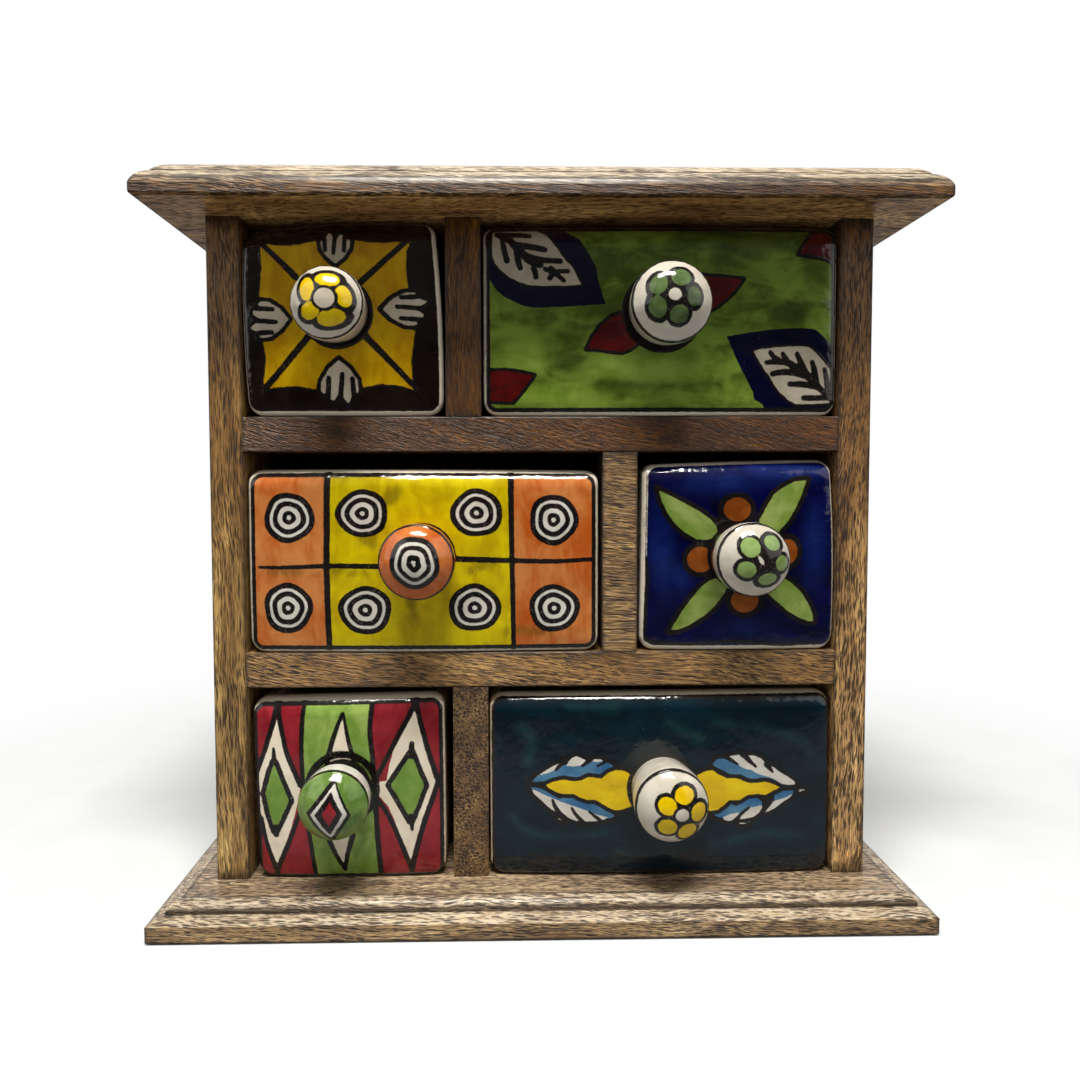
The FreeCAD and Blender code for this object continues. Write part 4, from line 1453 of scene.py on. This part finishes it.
def knob_middle_right(at, run):
    petals = [
        (-3.0, 5.0, (3.1, 3.2), 20), (5.0, 6.5, (2.9, 2.3), -20), (8.6, -0.7, (2.4, 2.6), 0),
        (3.3, -6.2, (3.1, 1.9), 8), (-4.3, -2.8, (3.0, 2.7), -30),
    ]
    leaf, middle, black = flower(at, petals, (0.4, 0.5), 0.9, 1.1)
    heart = ellipse(at, (3.0, 0.2), (6.2, 5.6))
    return [
        ("black", on_dome(union(black, heart), run)),
        ("petal_green", on_dome(leaf, run)),
        ("knob_white", on_dome(ellipse(at, (0.4, 0.5), (0.6, 1.7), 30), run)),
        ("black", rim_line(run, 16.0, 1.2)),
        ("black", run - 9.0),
    ]


def knob_bottom_left(at, run):
    def diamond(top, right, bottom, left):
        return area(at, [top, right, bottom, left])

    outer = diamond((1.2, 11.6), (7.4, -1.2), (0.2, -12.0), (-8.4, -0.6))
    white = diamond((1.6, 9.8), (6.2, -0.6), (0.0, -10.2), (-6.8, -0.8))
    inner = diamond((0.6, 7.2), (4.6, -0.4), (0.0, -8.2), (-4.9, -0.6))
    red = diamond((0.4, 4.2), (2.7, 0.2), (0.0, -4.6), (-2.4, -0.2))
    return [
        ("black", on_dome(outer, run)),
        ("white", on_dome(white, run)),
        ("black", on_dome(inner, run)),
        ("red", on_dome(red, run)),
        ("white", np.maximum(run - 14.9, 7.5 - run)),
        ("black", rim_line(run, 15.3, 1.3)),
        ("black", run - 8.0),
    ]


def knob_bottom_right(at, run):
    petals = [
        (3.2, 6.0, (3.3, 2.7), 0), (-3.0, 2.6, (3.0, 2.9), -20), (8.5, -0.4, (2.8, 3.2), 0),
        (4.6, -7.4, (3.3, 3.2), 20), (-2.8, -5.2, (3.1, 2.9), -20),
    ]
    leaf, middle, black = flower(at, petals, (2.2, -0.6), 2.4, 1.1)
    return [
        ("black", on_dome(black, run)),
        ("yellow_warm", on_dome(leaf, run)),
        ("knob_white", on_dome(middle, run)),
        ("black", rim_line(run, 15.9, 1.2)),
    ]


# Each front: its painter, how the brush was drawn and a slot name
PAINTING = {
    "top_left": (paint_top_left, (1.0, 1.0, 0.4), "glaze_mustard"),
    "top_right": (paint_top_right, (0.35, 1.0, 1.0), "glaze_olive"),
    "middle_left": (paint_middle_left, (1.0, 1.0, 0.4), "glaze_yellow_orange"),
    "middle_right": (paint_middle_right, (0.5, 1.0, 1.0), "glaze_cobalt"),
    "bottom_left": (paint_bottom_left, (1.0, 1.0, 0.5), "glaze_red_green"),
    "bottom_right": (paint_bottom_right, (0.35, 1.0, 1.0), "glaze_teal"),
}

# Each knob: its painter, its ground colour and its slot
KNOBS = {
    "top_left": (knob_top_left, "knob_white", "glaze_white"),
    "top_right": (knob_top_right, "knob_white", "glaze_white"),
    "middle_left": (knob_middle_left, "knob_orange", "glaze_orange"),
    "middle_right": (knob_middle_right, "knob_white", "glaze_white"),
    "bottom_left": (knob_bottom_left, "knob_green", "glaze_green"),
    "bottom_right": (knob_bottom_right, "knob_white", "glaze_white"),
}

# Drawers and knobs
for seed, (place, spec) in enumerate(DRAWERS.items(), 1):
    painter, way, slot = PAINTING[place]
    shift = (seed * 53.0, seed * 11.0, seed * 29.0)
    painted_front(place, spec, painter, shift, way, seed)
    tray(place, spec, plain_glaze("glaze_tray_" + place, shift), seed + 20)
    knob_piece(place, spec, *KNOBS[place], seed)


def board(grain, slant, pores, light, burnt, stain_and_painted_light, **rest):
    """A board's look: the axis of its grain, how far the pores climb for each
    millimetre along it, their length, how close they stand and how wide they
    open, lightness, and how far the ends are darkened, which is partly painted
    shade. The stain is for all its faces but those that rest names as up or
    down, and those up and down stains are painted light, lighter or darker by
    how a face looks. high is how the stain changes towards the board's top,
    painted shade there. Then come how pale moulded edges and upper faces are
    made, partly wear and partly a painted sheen, and how far from the sides a
    dark line of painted shade lies in a crease."""
    look = {"up": stain_and_painted_light, "down": stain_and_painted_light, "high": (1, 1, 1), "worn": (0.0, 0.0), "grime": ()}
    look.update(rest)
    return (grain, slant, *pores, light, burnt, stain_and_painted_light, *look.values())


# Each board's stain is its own tone and also painted light: shelf_upper and divider_top are darkened as
# painted shade, divider_bottom is lightened as painted light, the sides' high darkens their upper part as
# painted shade, and the top and base boards get up and down stains of their own as painted light by facing.
BOARDS = {
    "left_side": board(
        "Z", 0.03, (10.0, 1.45, 0.35), 0.48, 4.5, (1.62, 1.6, 1.22), high=(0.56, 0.42, 0.28)
    ),
    "right_side": board(
        "Z", -0.05, (7.0, 1.4, 0.41), 0.5, 4.5, (2.1, 2.0, 1.8), high=(0.33, 0.23, 0.1)
    ),
    "shelf_upper": board("X", 0.3, (11.0, 1.4, 0.36), 0.52, 0.6, (0.38, 0.2, 0.02)),
    "shelf_lower": board("X", 0.16, (9.0, 1.4, 0.38), 0.5, 0.6, (1.25, 1.08, 0.74)),
    "divider_top": board("Z", 0.02, (10.0, 1.4, 0.36), 0.6, 0.8, (0.5, 0.3, 0.04)),
    "divider_middle": board("X", 0.14, (10.0, 1.4, 0.39), 0.48, 0.4, (1.06, 0.96, 0.77)),
    "divider_bottom": board("Y", 0.3, (6.0, 0.8, 0.44), 0.56, 0.4, (3.4, 3.0, 2.3)),
    "base_board": board(
        "X", 0.05, (6.0, 1.45, 0.39), 0.44, 1.0, (1.45, 1.46, 1.56),
        up=(1.2, 1.3, 1.62), worn=(0.74, 0.12), grime=(5.2, 9.8),
    ),
    "top_board": board(
        "X", 0.1, (9.0, 1.45, 0.37), 0.46, 1.0, (0.38, 0.23, 0.05),
        up=(0.9, 1.0, 1.1), down=(1.6, 1.4, 1.1), worn=(0.72, 0.4), grime=(1.0,),
    ),
}


def dress(node, material):
    """Give a solid of the frame one material."""
    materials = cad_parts[node].data.materials
    materials.clear()
    materials.append(material)


for number, (node, look) in enumerate(BOARDS.items(), 1):
    low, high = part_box(node)
    size = ([v / MM for v in low], [v / MM for v in high])
    shift = (number * 37.0, number * 61.0, number * 23.0)
    dress(node, wood("wood_" + node, size, shift, look))

dress("back_panel", plywood("plywood_back"))
zinc = steel("zinc_plated_steel")
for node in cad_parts:
    kind = node.split("_")[0]
    if kind in ("stud", "washer", "nut") or node.endswith(("screws", "nails", "tacks")):
        dress(node, zinc)


# Floor, world and lamps
FLOOR_SEEN = 0.76
FLOOR_BOUNCE = 0.30
FLOOR_NEAR_GLOSS = 0.20
FLOOR_FAR_GLOSS = 0.04
ROOM_LOW = 0.025
ROOM_HIGH = 0.20


def light_path_seen(s):
    """1 for rays from the camera or through something clear, else 0, and the
    light path's outputs."""
    path = s.node("ShaderNodeLightPath").outputs
    direct = s.calc("MAXIMUM", path["Is Camera Ray"], path["Is Transmission Ray"])
    return direct, path


def floor_material():
    """A pale floor that keeps the shadow near the chest and fades to white
    away from it. Behind the chest gloss shows it as white too, and in front
    it shows the dim room."""
    s = Shader("pale_floor")
    place = s.node("ShaderNodeTexCoord").outputs["Object"]
    away = s.node("ShaderNodeVectorMath", {0: place}, operation="LENGTH").outputs["Value"]
    depth = s.node("ShaderNodeSeparateXYZ", {0: place}).outputs[1]
    behind = s.step(depth, 0.05, 0.4)
    direct, path = light_path_seen(s)
    seen = s.calc("MAXIMUM", direct, s.calc("MULTIPLY", path["Is Glossy Ray"], behind))
    mottle = s.noise(place, 30.0, 2.0)
    shade = s.step(mottle, 0.3, 0.7, 0.98, 1.02)
    in_gloss = s.step(depth, -0.30, -0.17, FLOOR_FAR_GLOSS, FLOOR_NEAR_GLOSS)
    unseen = s.step(path["Is Glossy Ray"], 0.0, 1.0, FLOOR_BOUNCE, in_gloss)
    level = s.calc("MULTIPLY", s.step(seen, 0.0, 1.0, unseen, FLOOR_SEEN), shade)
    red = s.calc("MULTIPLY", level, 0.93)
    green = s.calc("MULTIPLY", level, 0.965)
    colour = s.node("ShaderNodeCombineColor", {0: red, 1: green, 2: level}).outputs[0]
    s.finish(Base_Color=colour, Roughness=0.9, Specular_IOR_Level=0.1)
    white = s.node("ShaderNodeEmission", {0: (1, 1, 1, 1), 1: 1.0}).outputs[0]
    far = s.calc("MULTIPLY", s.step(away, 0.18, 0.45), seen)
    both = s.node("ShaderNodeMixShader", {0: far, 1: s.principled.outputs[0], 2: white})
    output = s.tree.nodes["Material Output"]
    s.put(output.inputs["Surface"], both.outputs[0])
    return s.material


def make_stage():
    half = 3.0
    mesh = bpy.data.meshes.new("floor")
    corners = [(-half, -half, 0), (half, -half, 0), (half, half, 0), (-half, half, 0)]
    mesh.from_pydata(corners, [], [(0, 1, 2, 3)])
    mesh.materials.append(floor_material())
    floor = bpy.data.objects.new("floor", mesh)
    floor.location.z = -0.0002
    bpy.context.scene.collection.objects.link(floor)
    floor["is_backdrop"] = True


def make_world():
    """White where the camera or a clear thing looks, and where a gloss looks
    past the back of the chest; else a dim room that is lighter overhead."""
    world = bpy.data.worlds.new("studio")
    bpy.context.scene.world = world
    world.use_nodes = True
    s = Shader.__new__(Shader)
    s.tree = world.node_tree
    s.tree.nodes.clear()
    way = s.node("ShaderNodeTexCoord").outputs["Generated"]
    parts = s.node("ShaderNodeSeparateXYZ", {0: way}).outputs
    direct, path = light_path_seen(s)
    behind = s.calc("MULTIPLY", path["Is Glossy Ray"], s.step(parts[1], 0.1, 0.6))
    seen = s.calc("MAXIMUM", direct, behind)
    level = s.step(parts[2], -0.1, 0.95, ROOM_LOW, ROOM_HIGH)
    room = s.node("ShaderNodeBackground", {0: (1.0, 0.97, 0.92, 1.0), 1: level}).outputs[0]
    white = s.node("ShaderNodeBackground", {0: (1.0, 1.0, 1.0, 1.0), 1: 1.0}).outputs[0]
    both = s.node("ShaderNodeMixShader", {0: seen, 1: room, 2: white}).outputs[0]
    s.node("ShaderNodeOutputWorld", {0: both})


def lamp(name, at, towards, size, power, colour):
    data = bpy.data.lights.new(name, "AREA")
    data.shape = "RECTANGLE"
    data.size, data.size_y = size
    data.energy = power
    data.color = colour
    made = bpy.data.objects.new(name, data)
    made.location = at
    way = Vector(towards) - Vector(at)
    made.rotation_euler = way.to_track_quat("-Z", "Y").to_euler()
    bpy.context.scene.collection.objects.link(made)


make_stage()
make_world()
lamp("key_lamp", (-0.04, -0.465, 1.37), (0, -0.04, 0.14), (0.6, 0.2), 26, (1.0, 0.965, 0.9))
lamp("left_lamp", (-2.1, -0.95, 1.3), (0, -0.04, 0.12), (2.2, 2.2), 18, (1.0, 0.975, 0.93))
lamp("right_lamp", (2.0, -0.95, 1.25), (0, -0.04, 0.12), (2.2, 2.2), 15, (1.0, 0.975, 0.93))

scene = bpy.context.scene
scene.view_settings.view_transform = "Standard"

low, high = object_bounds()
